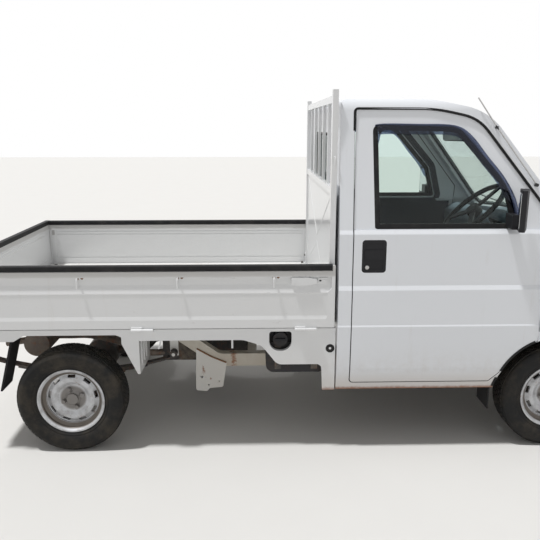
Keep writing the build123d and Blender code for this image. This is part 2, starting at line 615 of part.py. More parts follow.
# Leaf springs on top of the axle tube, nested arcs with an eye at each end of the top leaf
SPRING_WIDTH = 44.0
SPRING_HALF = 480.0
SPRING_ARC = 1600.0
LEAF = 9.0
LEAF_HALVES = (SPRING_HALF, 340.0, 220.0)
EYE_RADIUS = 20.0
SPRING_PIN_RADIUS = 9.0
HANGER_PLATE = 16.0
SPRING_Y = RAIL_Y + RAIL_WIDTH / 2 + HANGER_PLATE + TOUCH_GAP + SPRING_WIDTH / 2
spring_low = TYRE_RADIUS + AXLE_TUBE_RADIUS + TOUCH_GAP
spring_eye_z = spring_low + (len(LEAF_HALVES) - 1) * LEAF + SPRING_HALF ** 2 / (2 * SPRING_ARC) + EYE_RADIUS
springs = Part()
for side, sign in SIDES:
    y0, y1 = sign * SPRING_Y - SPRING_WIDTH / 2, sign * SPRING_Y + SPRING_WIDTH / 2
    arc_z = spring_low + SPRING_ARC
    stack = Part()
    for leaf, half in enumerate(LEAF_HALVES):
        outer_radius = SPRING_ARC - (len(LEAF_HALVES) - 1 - leaf) * LEAF
        ring = rod(outer_radius, (REAR_AXLE_X, y0, arc_z), (REAR_AXLE_X, y1, arc_z))
        ring -= rod(outer_radius - LEAF, (REAR_AXLE_X, y0, arc_z), (REAR_AXLE_X, y1, arc_z))
        stack += ring & block(REAR_AXLE_X - half, REAR_AXLE_X + half, y0, y1, 0, arc_z)
    for end in (-1, 1):
        x = REAR_AXLE_X + end * SPRING_HALF
        stack += rod(EYE_RADIUS, (x, y0, spring_eye_z), (x, y1, spring_eye_z))
        stack -= rod(SPRING_PIN_RADIUS + TOUCH_GAP, (x, y0, spring_eye_z), (x, y1, spring_eye_z))
    springs += stack
save("leaf_springs", springs)

# Ladder frame: two rails with their kick-up over the rear axle
RAIL_SIDE_VIEW = (
    (RAIL_FRONT_X, RAIL_LOW_TOP - RAIL_DEPTH, 0), (RAIL_FRONT_X, RAIL_LOW_TOP, 0), (KICK_FRONT_X, RAIL_LOW_TOP,
                                                                                    60),
    (KICK_REAR_X, RAIL_HIGH_TOP, 60), (RAIL_REAR_X, RAIL_HIGH_TOP, 0),
    (RAIL_REAR_X, RAIL_HIGH_TOP - RAIL_DEPTH, 0), (KICK_REAR_X - 20, RAIL_HIGH_TOP - RAIL_DEPTH, 60),
    (KICK_FRONT_X - 20, RAIL_LOW_TOP - RAIL_DEPTH, 60),
)
rails = Part()
for side, sign in SIDES:
    rails += across_y(RAIL_SIDE_VIEW, sign * RAIL_Y - RAIL_WIDTH / 2, sign * RAIL_Y + RAIL_WIDTH / 2)
save("frame", rails)

# Cross-members between the rails. Columns: x, rail top there
CROSS_LENGTH = 50.0
CROSS_DEPTH = 60.0
CROSS_MEMBERS = ((1440, RAIL_LOW_TOP), (850, RAIL_LOW_TOP), (-250, RAIL_LOW_TOP), (-850, RAIL_HIGH_TOP),
                 (-1540, RAIL_HIGH_TOP))
rail_inner_y = RAIL_Y - RAIL_WIDTH / 2
members = Part()
for x, top in CROSS_MEMBERS:
    z = top - RAIL_DEPTH / 2
    members += block(x - CROSS_LENGTH / 2, x + CROSS_LENGTH / 2, -rail_inner_y, rail_inner_y,
                     z - CROSS_DEPTH / 2, z + CROSS_DEPTH / 2)
save("cross_members", members)

# Posts that carry the bed, spring hangers, cab outriggers and the stamped plates below the kick-up.
# Columns: x, rail top there
BED_POSTS = ((-1550, RAIL_HIGH_TOP), (-1147, RAIL_HIGH_TOP), (-760, RAIL_HIGH_TOP), (-70, RAIL_LOW_TOP))
# Columns: end of the spring, hanger's top
HANGERS = ((-1, RAIL_HIGH_TOP), (1, RAIL_HIGH_TOP - 45))
# Columns: x, z, corner radius
STAMPED_PLATE = ((-551, 428, 0), (-558, 186, 14), (-496, 180, 8), (-484, 197, 6), (-409, 205, 10),
                 (-388, 345, 0),
                 (-470, 382, 60))
STAMPED_THICKNESS = 4.0
# Columns: x, z, radius
STAMPED_HOLES = ((-524, 264, 8), (-488, 216, 5), (-430, 238, 4))
OUTRIGGERS_X = (300.0, 900.0)
POST_LENGTH = 60.0
HANGER_LENGTH = 44.0
HANGER_DROP = 20.0
OUTRIGGER_LENGTH = 50.0
OUTRIGGER_DEPTH = 40.0
OUTRIGGER_END_Y = 600.0
rail_outer_y = RAIL_Y + RAIL_WIDTH / 2
brackets = Part()
for side, sign in SIDES:
    for x, top in BED_POSTS:
        brackets += block(x - POST_LENGTH / 2, x + POST_LENGTH / 2, sign * rail_inner_y, sign * rail_outer_y,
                          top,
                          BED_FLOOR_TOP - BED_FLOOR_THICKNESS)
    plate_y = sign * (rail_outer_y + TOUCH_GAP)
    plate = across_y(STAMPED_PLATE, plate_y, plate_y + sign * STAMPED_THICKNESS)
    for x, z, radius in STAMPED_HOLES:
        plate -= rod(radius, (x, plate_y - 10, z), (x, plate_y + 10, z))
    brackets += plate
    for end, top in HANGERS:
        x = REAR_AXLE_X + end * SPRING_HALF
        brackets += block(x - HANGER_LENGTH / 2, x + HANGER_LENGTH / 2, sign * rail_outer_y,
                          sign * (rail_outer_y + HANGER_PLATE), spring_eye_z - HANGER_DROP, top)
        brackets += rod(SPRING_PIN_RADIUS, (x, sign * (rail_outer_y + HANGER_PLATE), spring_eye_z),
                        (x, sign * (SPRING_Y + SPRING_WIDTH / 2), spring_eye_z))
    for x in OUTRIGGERS_X:
        brackets += block(x - OUTRIGGER_LENGTH / 2, x + OUTRIGGER_LENGTH / 2, sign * rail_outer_y,
                          sign * OUTRIGGER_END_Y, RAIL_LOW_TOP - OUTRIGGER_DEPTH, RAIL_LOW_TOP)
save("frame_brackets", brackets)

# Engine, one plain block, and the tank and muffler beside the rails
save("engine_block", block(-760, -275, -215, 215, 290, 570))
TANK_SIDE_VIEW = ((-180, 400, 40), (-180, 560, 30), (120, 560, 30), (120, 400, 40))
TANK_OUTER_Y = 670.0
# Filler opening in the right skirt, flat above and round below. Columns: x, z, corner radius
FILLER_OPENING = ((-164, 528, 50), (-164, 628, 14), (-55, 628, 14), (-55, 528, 50))
FILLER_X = -109.5
FILLER_CUP_DEPTH = 34.0
FILLER_CUP_WALL = 5.0
FILLER_CAP_RADIUS = 36.0
tank = across_y(TANK_SIDE_VIEW, -TANK_OUTER_Y, -RAIL_Y - RAIL_WIDTH / 2)
cup_outer_y = -BED_HALF_WIDTH + TOUCH_GAP
cup_inner_y = cup_outer_y + FILLER_CUP_DEPTH
cup = across_y(inset(FILLER_OPENING, -FILLER_CUP_WALL), cup_outer_y, cup_inner_y)
cup -= across_y(FILLER_OPENING, cup_outer_y - 1, cup_inner_y - FILLER_CUP_WALL)
cup -= block(-300, 0, -800, 0, BED_FLOOR_TOP - BED_FLOOR_THICKNESS - TOUCH_GAP, 700)
tank += cup
tank += rod(FILLER_CAP_RADIUS, (FILLER_X, cup_inner_y - FILLER_CUP_WALL, 580), (FILLER_X, cup_outer_y - 4, 580))
tank += rod(26, (FILLER_X, cup_inner_y - 1, 575), (FILLER_X, -600, 540))
save("fuel_tank", tank)
MUFFLER_RADIUS = 68.0
MUFFLER_X = -1400.0
MUFFLER_ENDS_Y = (-405.0, 95.0)
TAIL_PIPE_RADIUS = 18.0
TAIL_PIPE_Y = -300.0
TAIL_PIPE_LENGTH = 200.0
TAIL_PIPE_DROP = 30.0
muffler_z = RAIL_HIGH_TOP - RAIL_DEPTH - MUFFLER_RADIUS
muffler = rod(MUFFLER_RADIUS, *((MUFFLER_X, y, muffler_z) for y in MUFFLER_ENDS_Y))
muffler += rod(TAIL_PIPE_RADIUS, (MUFFLER_X, TAIL_PIPE_Y, muffler_z),
               (MUFFLER_X - TAIL_PIPE_LENGTH, TAIL_PIPE_Y, muffler_z - TAIL_PIPE_DROP))
save("muffler", muffler)

# Bed floor and skirts
bed_floor = block(BED_REAR_X, BED_FRONT_X, -BED_HALF_WIDTH, BED_HALF_WIDTH, BED_FLOOR_TOP - BED_FLOOR_THICKNESS,
                  BED_FLOOR_TOP)
save("bed_floor", bed_floor)

# Bed skirt with the wheel notch and the lower side panel. Columns: x, z, corner radius
SKIRT_OUTLINE = (
    (BED_REAR_X, HINGE_AXIS_Z - 2, 0), (BED_REAR_X, SKIRT_BOTTOM, 0), (-1395, SKIRT_BOTTOM, 0), (-1345, 616,
                                                                                                 20),
    (-905, 616, 20), (-834, SKIRT_BOTTOM, 0), (-290, SKIRT_BOTTOM, 90), (-200, 556, 60), (-125, 458, 50),
    (92, 458, 26), (98, 322, 0), (158, 322, 0), (158, HINGE_AXIS_Z - 2, 0),
)
HINGE_WEB_DROP = 9.0
TAIL_SILL = 18.0
TAIL_SILL_BOTTOM = 520.0
skirts = Part()
for side, sign in SIDES:
    skirts += across_y(SKIRT_OUTLINE, sign * BED_HALF_WIDTH, sign * SKIRT_OUTER_Y)
skirts -= across_y(FILLER_OPENING, -SKIRT_OUTER_Y - 1, -BED_HALF_WIDTH + 1)
tail_sill = block(BED_REAR_X - TAIL_SILL, BED_REAR_X, -SKIRT_OUTER_Y, SKIRT_OUTER_Y, TAIL_SILL_BOTTOM,
                  HINGE_AXIS_Z - 2)
for y in (-PLATE_HOLES / 2, PLATE_HOLES / 2):
    tail_sill -= rod(PLATE_HOLE_RADIUS, (BED_REAR_X - 30, y, REAR_PLATE_Z), (BED_REAR_X + 30, y, REAR_PLATE_Z))
skirts += tail_sill
# Fixed halves of the gate hinges
for side, sign in SIDES:
    for middle in HINGE_MIDDLES:
        skirts += rod(HINGE_RADIUS, (middle + TOUCH_GAP, sign * GATE_AXIS_Y, HINGE_AXIS_Z),
                      (middle + HINGE_LENGTH, sign * GATE_AXIS_Y, HINGE_AXIS_Z))
        skirts += block(middle + TOUCH_GAP, middle + HINGE_LENGTH, sign * SKIRT_OUTER_Y, sign * GATE_AXIS_Y,
                        HINGE_AXIS_Z - HINGE_WEB_DROP, HINGE_AXIS_Z - 2)
for middle in TAIL_HINGE_MIDDLES:
    skirts += rod(HINGE_RADIUS, (TAILGATE_AXIS_X, middle + TOUCH_GAP, HINGE_AXIS_Z),
                  (TAILGATE_AXIS_X, middle + HINGE_LENGTH, HINGE_AXIS_Z))
    skirts += block(TAILGATE_AXIS_X, BED_REAR_X - TAIL_SILL, middle + TOUCH_GAP, middle + HINGE_LENGTH,
                    HINGE_AXIS_Z - HINGE_WEB_DROP, HINGE_AXIS_Z - 2)
save("bed_skirts", skirts)

# Tail lamps on the sill
LAMP_DEPTH = 16.0
lamps = Part()
for side, sign in SIDES:
    lamps += block(BED_REAR_X - TAIL_SILL - LAMP_DEPTH, BED_REAR_X - TAIL_SILL, sign * 430, sign * 660, 535,
                   620)
save("tail_lamps", lamps)

# Mud flaps behind the wheels, the rear ones hung on a slant from the bed. Columns: x, z, corner radius
REAR_FLAP = ((-1398, BED_FLOOR_TOP - BED_FLOOR_THICKNESS, 0), (-1408, BED_FLOOR_TOP - BED_FLOOR_THICKNESS, 0),
             (-1492, 320, 0), (-1482, 320, 0))
FRONT_FLAP = ((936, 205, 0), (936, SILL_BOTTOM, 0), (944, SILL_BOTTOM, 0), (944, 205, 0))
FLAP_INNER_Y = 560.0
flaps = Part()
for side, sign in SIDES:
    flaps += across_y(REAR_FLAP, sign * FLAP_INNER_Y, sign * (BED_HALF_WIDTH - TOUCH_GAP))
    flaps += across_y(FRONT_FLAP, sign * FLAP_INNER_Y, sign * 700)
save("mud_flaps", flaps)

# Pressed splash plates across the space ahead of each rear wheel, with a gusset at the outer end and ribs
SPLASH_X = -800.0
SPLASH_THICKNESS = 6.0
SPLASH_OUTER_Y = 684.0
splash_top = BED_FLOOR_TOP - BED_FLOOR_THICKNESS - TOUCH_GAP
splash_inner_y = rail_outer_y + TOUCH_GAP
# Columns: x, z, corner radius
SPLASH_GUSSET = ((SPLASH_X, splash_top, 0), (-885, splash_top, 0), (-885, 560, 30), (-812, 403, 4),
                 (SPLASH_X, 403, 4))
SPLASH_RIBS_Y = (500.0, 560.0, 620.0)
plates = Part()
for side, sign in SIDES:
    plate = across_x([(sign * y, z, 0) for y, z in
                      ((SPLASH_OUTER_Y, splash_top), (splash_inner_y, splash_top), (splash_inner_y, 385),
                       (SPLASH_OUTER_Y, 403))], SPLASH_X - SPLASH_THICKNESS, SPLASH_X)
    plate += across_y(SPLASH_GUSSET, sign * (SPLASH_OUTER_Y - SPLASH_THICKNESS), sign * SPLASH_OUTER_Y)
    for y in SPLASH_RIBS_Y:
        plate += block(SPLASH_X - 1, SPLASH_X + 5, sign * (y - 7), sign * (y + 7), 430, 600)
    plates += plate
save("splash_plates", plates)

# Guard frame behind the cab: two posts, a panel below, window bars above between two cross bars, and a sill
HEADBOARD_Y = 663.0
POST_HALF = 20.0
WINDOW_SILL_Z = 1300.0
TOP_BAR_Z = 1715.0
CROSS_BAR_HALF = 16.0
WINDOW_BARS = 5
WINDOW_BAR_HALF = 8.0
PANEL_HALF = 6.0
headboard_rear_x = HEADBOARD_X - HEADBOARD_DEPTH / 2
headboard = block(headboard_rear_x, GATE_FRONT_X, -BED_HALF_WIDTH, BED_HALF_WIDTH,
                  BED_FLOOR_TOP - BED_FLOOR_THICKNESS,
                  BED_FLOOR_TOP)
headboard += block(HEADBOARD_X - PANEL_HALF, HEADBOARD_X + PANEL_HALF, -HEADBOARD_Y, HEADBOARD_Y, BED_FLOOR_TOP,
                   WINDOW_SILL_Z)
for side, sign in SIDES:
    headboard += block(headboard_rear_x, GATE_FRONT_X, sign * (HEADBOARD_Y - POST_HALF),
                       sign * (HEADBOARD_Y + POST_HALF),
                       BED_FLOOR_TOP, HEADBOARD_TOP)
for z in (WINDOW_SILL_Z, TOP_BAR_Z):
    headboard += block(HEADBOARD_X - 13, HEADBOARD_X + 11, -HEADBOARD_Y, HEADBOARD_Y, z - CROSS_BAR_HALF,
                       z + CROSS_BAR_HALF)
for number in range(1, WINDOW_BARS + 1):
    y = -HEADBOARD_Y + number * 2 * HEADBOARD_Y / (WINDOW_BARS + 1)
    headboard += block(HEADBOARD_X - WINDOW_BAR_HALF, HEADBOARD_X + WINDOW_BAR_HALF, y - WINDOW_BAR_HALF,
                       y + WINDOW_BAR_HALF, WINDOW_SILL_Z, TOP_BAR_Z)
save("headboard", headboard)

# Side gates: hemmed panels with hinge barrels along the bottom, a latch, and a rubber rail on top. The outer
# face is pressed in between the hem, the flange and a plain band at each end.
# Pressed-in section. Columns: depth from the outer face, z, corner radius
PRESSED_SECTION = (
    (-1, 692, 0), (0, 692, 0), (4, 710, 4), (4, 820, 0), (2, 824, 0), (12, 864, 6), (12, 903, 0), (-1, 903, 0),
)
PRESSED_END = 17.0
PRESSED_PANEL_END = 37.0
PRESSED_CORNER_Z = 824.0
# Beads pressed into the inner face. Columns: z from, z to
INNER_BEADS = ((700, 709), (864, 872), (884, 892))
INNER_BEAD_DEPTH = 3.0
INNER_BEAD_END = 45.0
LATCH_LEVER = ((-59, 862, 8), (-59, 899, 8), (20, 899, 6), (62, 889, 4), (62, 872, 4), (24, 862, 6))
LATCH_KEEPER = ((68, 868, 3), (68, 897, 3), (114, 897, 3), (114, 868, 3))
LATCH_OUT = 8.0
KEEPER_IN = 4.0
HINGE_LEAF_RISE = 8.0
RAIL_OVERHANG = 2.0
END_CAP = 14.0
pressed_depth = max(depth for depth, z, radius in PRESSED_SECTION)


def pressed_outline(rear, front):
    """Where a gate's face is pressed in, seen square on: a panel with a wider band above it."""
    return ((rear + PRESSED_PANEL_END, 690, 14), (rear + PRESSED_PANEL_END, PRESSED_CORNER_Z, 6),
            (rear + PRESSED_END, PRESSED_CORNER_Z + 22, 6), (rear + PRESSED_END, 905, 0),
            (front - PRESSED_END, 905, 0), (front - PRESSED_END, PRESSED_CORNER_Z + 22, 6),
            (front - PRESSED_PANEL_END, PRESSED_CORNER_Z, 6), (front - PRESSED_PANEL_END, 690, 14))


for side, sign in SIDES:
    gate_inner_y = GATE_OUTER_Y - GATE_THICKNESS
    gate = across_x([(sign * GATE_OUTER_Y, GATE_BOTTOM, 0), (sign * GATE_OUTER_Y, GATE_TOP, 6),
                     (sign * gate_inner_y, GATE_TOP, 6), (sign * gate_inner_y, GATE_BOTTOM, 0)],
                    GATE_REAR_X, GATE_FRONT_X)
    pressed = across_x([(sign * (GATE_OUTER_Y - depth), z, r) for depth, z, r in PRESSED_SECTION], GATE_REAR_X,
                       GATE_FRONT_X)
    gate -= pressed & across_y(pressed_outline(GATE_REAR_X, GATE_FRONT_X), sign * gate_inner_y, sign * 760)
    for low, high in INNER_BEADS:
        gate -= block(GATE_REAR_X + INNER_BEAD_END, GATE_FRONT_X - INNER_BEAD_END, sign * (gate_inner_y - 1),
                      sign * (gate_inner_y + INNER_BEAD_DEPTH), low, high)
    for middle in HINGE_MIDDLES:
        x0, x1 = middle - HINGE_LENGTH, middle - TOUCH_GAP
        gate += rod(HINGE_RADIUS, (x0, sign * GATE_AXIS_Y, HINGE_AXIS_Z),
                    (x1, sign * GATE_AXIS_Y, HINGE_AXIS_Z))
        gate += block(x0, x1, sign * (GATE_OUTER_Y - 2), sign * GATE_AXIS_Y, GATE_BOTTOM,
                      GATE_BOTTOM + HINGE_LEAF_RISE)
    latch_foot_y = GATE_OUTER_Y - pressed_depth - 1
    gate += across_y(LATCH_LEVER, sign * latch_foot_y, sign * (GATE_OUTER_Y + LATCH_OUT))
    gate += across_y(LATCH_KEEPER, sign * latch_foot_y, sign * (GATE_OUTER_Y - KEEPER_IN))
    gate += block(GATE_FRONT_X - END_CAP, GATE_FRONT_X, sign * gate_inner_y, sign * GATE_OUTER_Y, GATE_TOP - 8,
                  GATE_RAIL_TOP - 6)
    save(f"gate_{side}", gate)
    rail_outer, rail_inner = GATE_OUTER_Y + RAIL_OVERHANG, gate_inner_y - RAIL_OVERHANG
    rail = across_x([(sign * rail_outer, GATE_TOP, 0), (sign * rail_outer, GATE_RAIL_TOP, 8),
                     (sign * rail_inner, GATE_RAIL_TOP, 8), (sign * rail_inner, GATE_TOP, 0)],
                    GATE_REAR_X, GATE_FRONT_X - END_CAP)
    save(f"gate_{side}_rail", rail)

tailgate = block(TAILGATE_OUTER_X, TAILGATE_INNER_X, -GATE_OUTER_Y, GATE_OUTER_Y, GATE_BOTTOM, GATE_TOP)
pressed = across_y([(TAILGATE_OUTER_X + depth, z, r) for depth, z, r in PRESSED_SECTION], -GATE_OUTER_Y,
                   GATE_OUTER_Y)
tailgate -= pressed & across_x(pressed_outline(-GATE_OUTER_Y, GATE_OUTER_Y), REAR_END, TAILGATE_INNER_X)
for middle in TAIL_HINGE_MIDDLES:
    y0, y1 = middle - HINGE_LENGTH, middle - TOUCH_GAP
    tailgate += rod(HINGE_RADIUS, (TAILGATE_AXIS_X, y0, HINGE_AXIS_Z), (TAILGATE_AXIS_X, y1, HINGE_AXIS_Z))
    tailgate += block(TAILGATE_AXIS_X, TAILGATE_OUTER_X + 2, y0, y1, GATE_BOTTOM, GATE_BOTTOM + HINGE_LEAF_RISE)
save("tailgate", tailgate)
save("tailgate_rail", block(TAILGATE_OUTER_X - RAIL_OVERHANG, TAILGATE_INNER_X + RAIL_OVERHANG, -GATE_OUTER_Y,
                            GATE_OUTER_Y, GATE_TOP, GATE_RAIL_TOP))

# Front suspension: subframe, arms and struts, and the knuckles that they carry
KINGPIN_Y = 530.0
BALL_Z = 172.0
BALL_FOOT_Z = 136.0
STRUT_FOOT = 352.0
SUBFRAME_HALF = 32.0
SUBFRAME_BOTTOM = 175.0
SUBFRAME_TOP = 215.0
ARM_INNER_Y = 330.0
ARM_RADIUS = 14.0
BALL_RADIUS = 18.0
STRUT_RADIUS = 26.0
KINGPIN_RADIUS = 20.0
STUB_RADIUS = 52.0
BRAKE_RADIUS = 105.0
strut_top = arch_z + ARCH_RADIUS - 1.5
x0, x1 = FRONT_AXLE_X - SUBFRAME_HALF, FRONT_AXLE_X + SUBFRAME_HALF
suspension = block(x0, x1, -rail_outer_y, rail_outer_y, SUBFRAME_BOTTOM, SUBFRAME_TOP)
for side, sign in SIDES:
    y = sign * KINGPIN_Y
    suspension += block(x0, x1, sign * rail_inner_y, sign * rail_outer_y, SUBFRAME_TOP,
                        RAIL_LOW_TOP - RAIL_DEPTH)
    suspension += rod(ARM_RADIUS, (FRONT_AXLE_X, sign * ARM_INNER_Y, 190), (FRONT_AXLE_X, y, 150))
    suspension += rod(BALL_RADIUS, (FRONT_AXLE_X, y, BALL_FOOT_Z), (FRONT_AXLE_X, y, BALL_Z))
    suspension += rod(STRUT_RADIUS, (FRONT_AXLE_X, y, STRUT_FOOT), (FRONT_AXLE_X, y, strut_top))
    knuckle = rod(KINGPIN_RADIUS, (FRONT_AXLE_X, y, BALL_Z), (FRONT_AXLE_X, y, STRUT_FOOT))
    knuckle += rod(STUB_RADIUS, (FRONT_AXLE_X, y, TYRE_RADIUS), (FRONT_AXLE_X, sign * hub_face_y, TYRE_RADIUS))
    knuckle += rod(BRAKE_RADIUS, (FRONT_AXLE_X, sign * (hub_face_y - 40), TYRE_RADIUS),
                   (FRONT_AXLE_X, sign * (hub_face_y - 18), TYRE_RADIUS))
    save(f"knuckle_{side}", knuckle)
save("front_suspension", suspension)

# Wipers at the foot of the windscreen, and the aerial on the right pillar
wipers = Part()


def on_screen(y, up, out):
    """Point on the bowed windscreen: across, up from its foot, and out from its face."""
    bow = SIDE_BOW * (y / (HALF_WIDTH + 2)) ** 2
    return screen_plane.from_local_coords(Vector(y, up, out)) - Vector(bow, 0, 0)


WIPER_LENGTH = 330.0
WIPER_OUT = 12.0
for y in (-330.0, 270.0):
    wipers += rod(7, on_screen(y, 30, -10), on_screen(y, 30, WIPER_OUT + 4))
    wipers += rod(4, on_screen(y, 30, WIPER_OUT), on_screen(y + WIPER_LENGTH, 75, WIPER_OUT))
skin = cab_solid(-TOUCH_GAP)
save("wipers", wipers - skin)


def pillar_y(z):
    """Distance of the cab's side from the middle, above the belt."""
    (foot_y, foot_z, _), (head_y, head_z, _) = CAB_FRONT_VIEW[7], CAB_FRONT_VIEW[8]
    return foot_y + (head_y - foot_y) * (z - foot_z) / (head_z - foot_z)


AERIAL_OUT = 14.0
AERIAL_FOOT = (1078.0, 1330.0)
AERIAL_CLIP = (880.0, 1590.0)
AERIAL_TIP = (787.0, 1722.0)
aerial = Part()
stations = [(x, -pillar_y(z) - AERIAL_OUT, z) for x, z in (AERIAL_FOOT, AERIAL_CLIP, AERIAL_TIP)]
for start, end in zip(stations, stations[1:]):
    aerial += rod(3, start, end)
for (x, y, z), radius in zip(stations, (8, 6)):
    aerial += rod(radius, (x, y - 3, z), (x, -pillar_y(z) + 10, z))
save("aerial", aerial - skin)
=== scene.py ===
from math import cos, pi, radians, sin, tan

import bmesh
import bpy
from mathutils import Matrix, Vector
from mathutils.bvhtree import BVHTree


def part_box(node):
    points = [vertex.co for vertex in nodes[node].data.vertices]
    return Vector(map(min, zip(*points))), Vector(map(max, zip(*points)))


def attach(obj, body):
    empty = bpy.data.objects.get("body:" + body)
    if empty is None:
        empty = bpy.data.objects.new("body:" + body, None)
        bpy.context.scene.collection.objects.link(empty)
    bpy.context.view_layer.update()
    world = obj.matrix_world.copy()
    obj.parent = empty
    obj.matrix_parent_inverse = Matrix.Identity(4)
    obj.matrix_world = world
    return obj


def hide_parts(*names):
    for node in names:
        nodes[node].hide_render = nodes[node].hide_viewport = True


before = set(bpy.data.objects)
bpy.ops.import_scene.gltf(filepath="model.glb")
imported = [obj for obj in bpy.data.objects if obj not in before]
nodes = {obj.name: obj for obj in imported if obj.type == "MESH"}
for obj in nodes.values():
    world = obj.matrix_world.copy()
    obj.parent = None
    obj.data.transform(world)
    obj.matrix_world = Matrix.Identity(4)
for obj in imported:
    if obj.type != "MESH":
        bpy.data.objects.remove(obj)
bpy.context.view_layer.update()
SIDES = (("right", -1), ("left", 1))

# Camera, at eye height on the truck's right, square to its side and looking a little down,
# as the photograph was taken. Focal length is in pixels of the 540 pixel wide picture.
EYE = Vector((-0.2315, -3.5025, 1.5932))
YAW = radians(1.4625)
PITCH = radians(13.28)
FOCAL_PIXELS = 606.9
PICTURE_PIXELS = 540


def placed(name, data):
    """A new object in the scene with this data."""
    thing = bpy.data.objects.new(name, data)
    bpy.context.scene.collection.objects.link(thing)
    return thing


lens = bpy.data.cameras.new("camera")
lens.sensor_width = 36.0
lens.lens = FOCAL_PIXELS / PICTURE_PIXELS * lens.sensor_width
lens.clip_start = 0.05
lens.clip_end = 200.0
camera = placed("camera", lens)
camera.location = EYE
camera.rotation_euler = (pi / 2 - PITCH, 0, -YAW)
bpy.context.scene.camera = camera
bpy.context.scene.view_settings.view_transform = "Standard"


# Studio: a pale floor with a pale world round it, one soft sun almost overhead and a little behind
# the truck, as in the photograph, and a weaker one from the far side.
def operator(operation, swapped=False):
    """What an arithmetic sign does between sockets: it adds a Math node."""
    def apply(first, second):
        return first.tree.math(operation, *((second, first) if swapped else (first, second)))
    return apply


class Socket:
    """A value on its way through a node tree, used in plain arithmetic."""

    def __init__(self, tree, output):
        self.tree = tree
        self.output = output

    __add__, __radd__ = operator("ADD"), operator("ADD", True)
    __sub__, __rsub__ = operator("SUBTRACT"), operator("SUBTRACT", True)
    __mul__, __rmul__ = operator("MULTIPLY"), operator("MULTIPLY", True)
    __truediv__, __rtruediv__ = operator("DIVIDE"), operator("DIVIDE", True)
    __mod__ = operator("MODULO")
    __gt__ = operator("GREATER_THAN")
    __lt__ = operator("LESS_THAN")


class Tree:
    """A node tree that is filled by one method."""

    def __init__(self, tree):
        self.tree = tree

    def add(self, kind, settings=None, values=None, output=0):
        """A node of that type: its settings first, then the values or links of its sockets."""
        node = self.tree.nodes.new(kind)
        for key, value in (settings or {}).items():
            setattr(node, key, value)
        for key, value in (values or {}).items():
            self.join(value, node.inputs[key])
        return Socket(self, node.outputs[output])

    def join(self, value, socket):
        if isinstance(value, Socket):
            self.tree.links.new(value.output, socket)
        elif socket.type == "RGBA" and len(value) == 3:
            socket.default_value = (*value, 1)
        else:
            socket.default_value = value

    def math(self, operation, *values):
        """The result of one Math node on up to three values."""
        return self.add("ShaderNodeMath", {"operation": operation}, dict(enumerate(values)))


class Finish(Tree):
    """A material: one Principled shader and what feeds it."""

    def __init__(self, name, **constants):
        self.material = bpy.data.materials.new(name)
        self.material.use_nodes = True
        super().__init__(self.material.node_tree)
        self.shader = self.tree.nodes["Principled BSDF"]
        self.set(**constants)
        self.place = self.add("ShaderNodeTexCoord", output="Object")

    def set(self, **values):
        """Sockets by name, with spaces as underscores."""
        for key, value in values.items():
            self.join(value, self.shader.inputs[key.replace("_", " ")])
        return self

    def axis(self, letter):
        return self.add("ShaderNodeSeparateXYZ", {}, {0: self.place}, output=letter)

    def aside(self, letter, middle=0.0):
        """How far along an axis a point is from the middle, whichever way."""
        return self.math("ABSOLUTE", self.axis(letter) - middle)

    def reach(self, **offsets):
        """The length of an offset, given by its parts along some axes."""
        offset = self.add("ShaderNodeCombineXYZ", {}, offsets)
        return self.add("ShaderNodeVectorMath", {"operation": "LENGTH"}, {0: offset}, output="Value")

    def wave(self, axis, scale, distortion=0.0):
        return self.add("ShaderNodeTexWave", {"bands_direction": axis},
                        {"Vector": self.place, "Scale": scale, "Distortion": distortion})

    def noise(self, scale, detail=4.0, roughness=0.55):
        """Noise at a scale, which may be three numbers, one for each axis."""
        where = self.place
        if isinstance(scale, tuple):
            where = self.add("ShaderNodeVectorMath", {"operation": "MULTIPLY"}, {0: self.place, 1: scale})
            scale = 1.0
        return self.add("ShaderNodeTexNoise", {}, {"Vector": where, "Scale": scale, "Detail": detail,
                                                   "Roughness": roughness})

    def rise(self, value, low, high):
        """0 below low, 1 above high, smooth between; low may be the larger."""
        return self.add("ShaderNodeMapRange", {"interpolation_type": "SMOOTHSTEP"},
                        {"Value": value, "From Min": low, "From Max": high})

    def patches(self, scale, low, high, detail=7.0, roughness=0.7):
        """Patches of noise: 0 where it is under low, 1 where it is over high."""
        return self.rise(self.noise(scale, detail, roughness), low, high)

    def mix(self, factor, first, second):
        return self.add("ShaderNodeMix", {"data_type": "RGBA"}, {0: factor, 6: first, 7: second}, output=2)

    def colour(self, share, first, second):
        """Paints the finish in the first colour, and in the second by its share."""
        return self.set(Base_Color=self.mix(share, first, second))

    def over(self, share, colour):
        """Another colour over what the finish has already."""
        under = Socket(self, self.shader.inputs["Base Color"].links[0].from_socket)
        return self.colour(share, under, colour)

    def bump(self, height, strength, distance=0.001):
        bumps = {"Height": height, "Strength": strength, "Distance": distance}
        return self.set(Normal=self.add("ShaderNodeBump", {}, bumps))


FLOOR_HALF = 30.0
FLOOR_COLOUR = (0.66, 0.65, 0.63)
WORLD_LIGHT = 0.41
KEY_STRENGTH = 2.70
KEY_TURN = (radians(5), radians(-18), radians(0))
FILL_STRENGTH = 0.30
FILL_TURN = (radians(-40), radians(-20), radians(0))
SUN_SOFTNESS = radians(4)

floor_finish = Finish("floor", Roughness=0.9)
grain = floor_finish.noise(3.0, 6.0)
floor_finish.set(Base_Color=floor_finish.mix(grain, FLOOR_COLOUR, tuple(c * 1.04 for c in FLOOR_COLOUR)))
floor_mesh = bpy.data.meshes.new("floor")
floor_mesh.from_pydata([(-FLOOR_HALF, -FLOOR_HALF, 0), (FLOOR_HALF, -FLOOR_HALF, 0),
                        (FLOOR_HALF, FLOOR_HALF, 0), (-FLOOR_HALF, FLOOR_HALF, 0)], [], [(0, 1, 2, 3)])
floor_mesh.materials.append(floor_finish.material)
floor = placed("floor", floor_mesh)

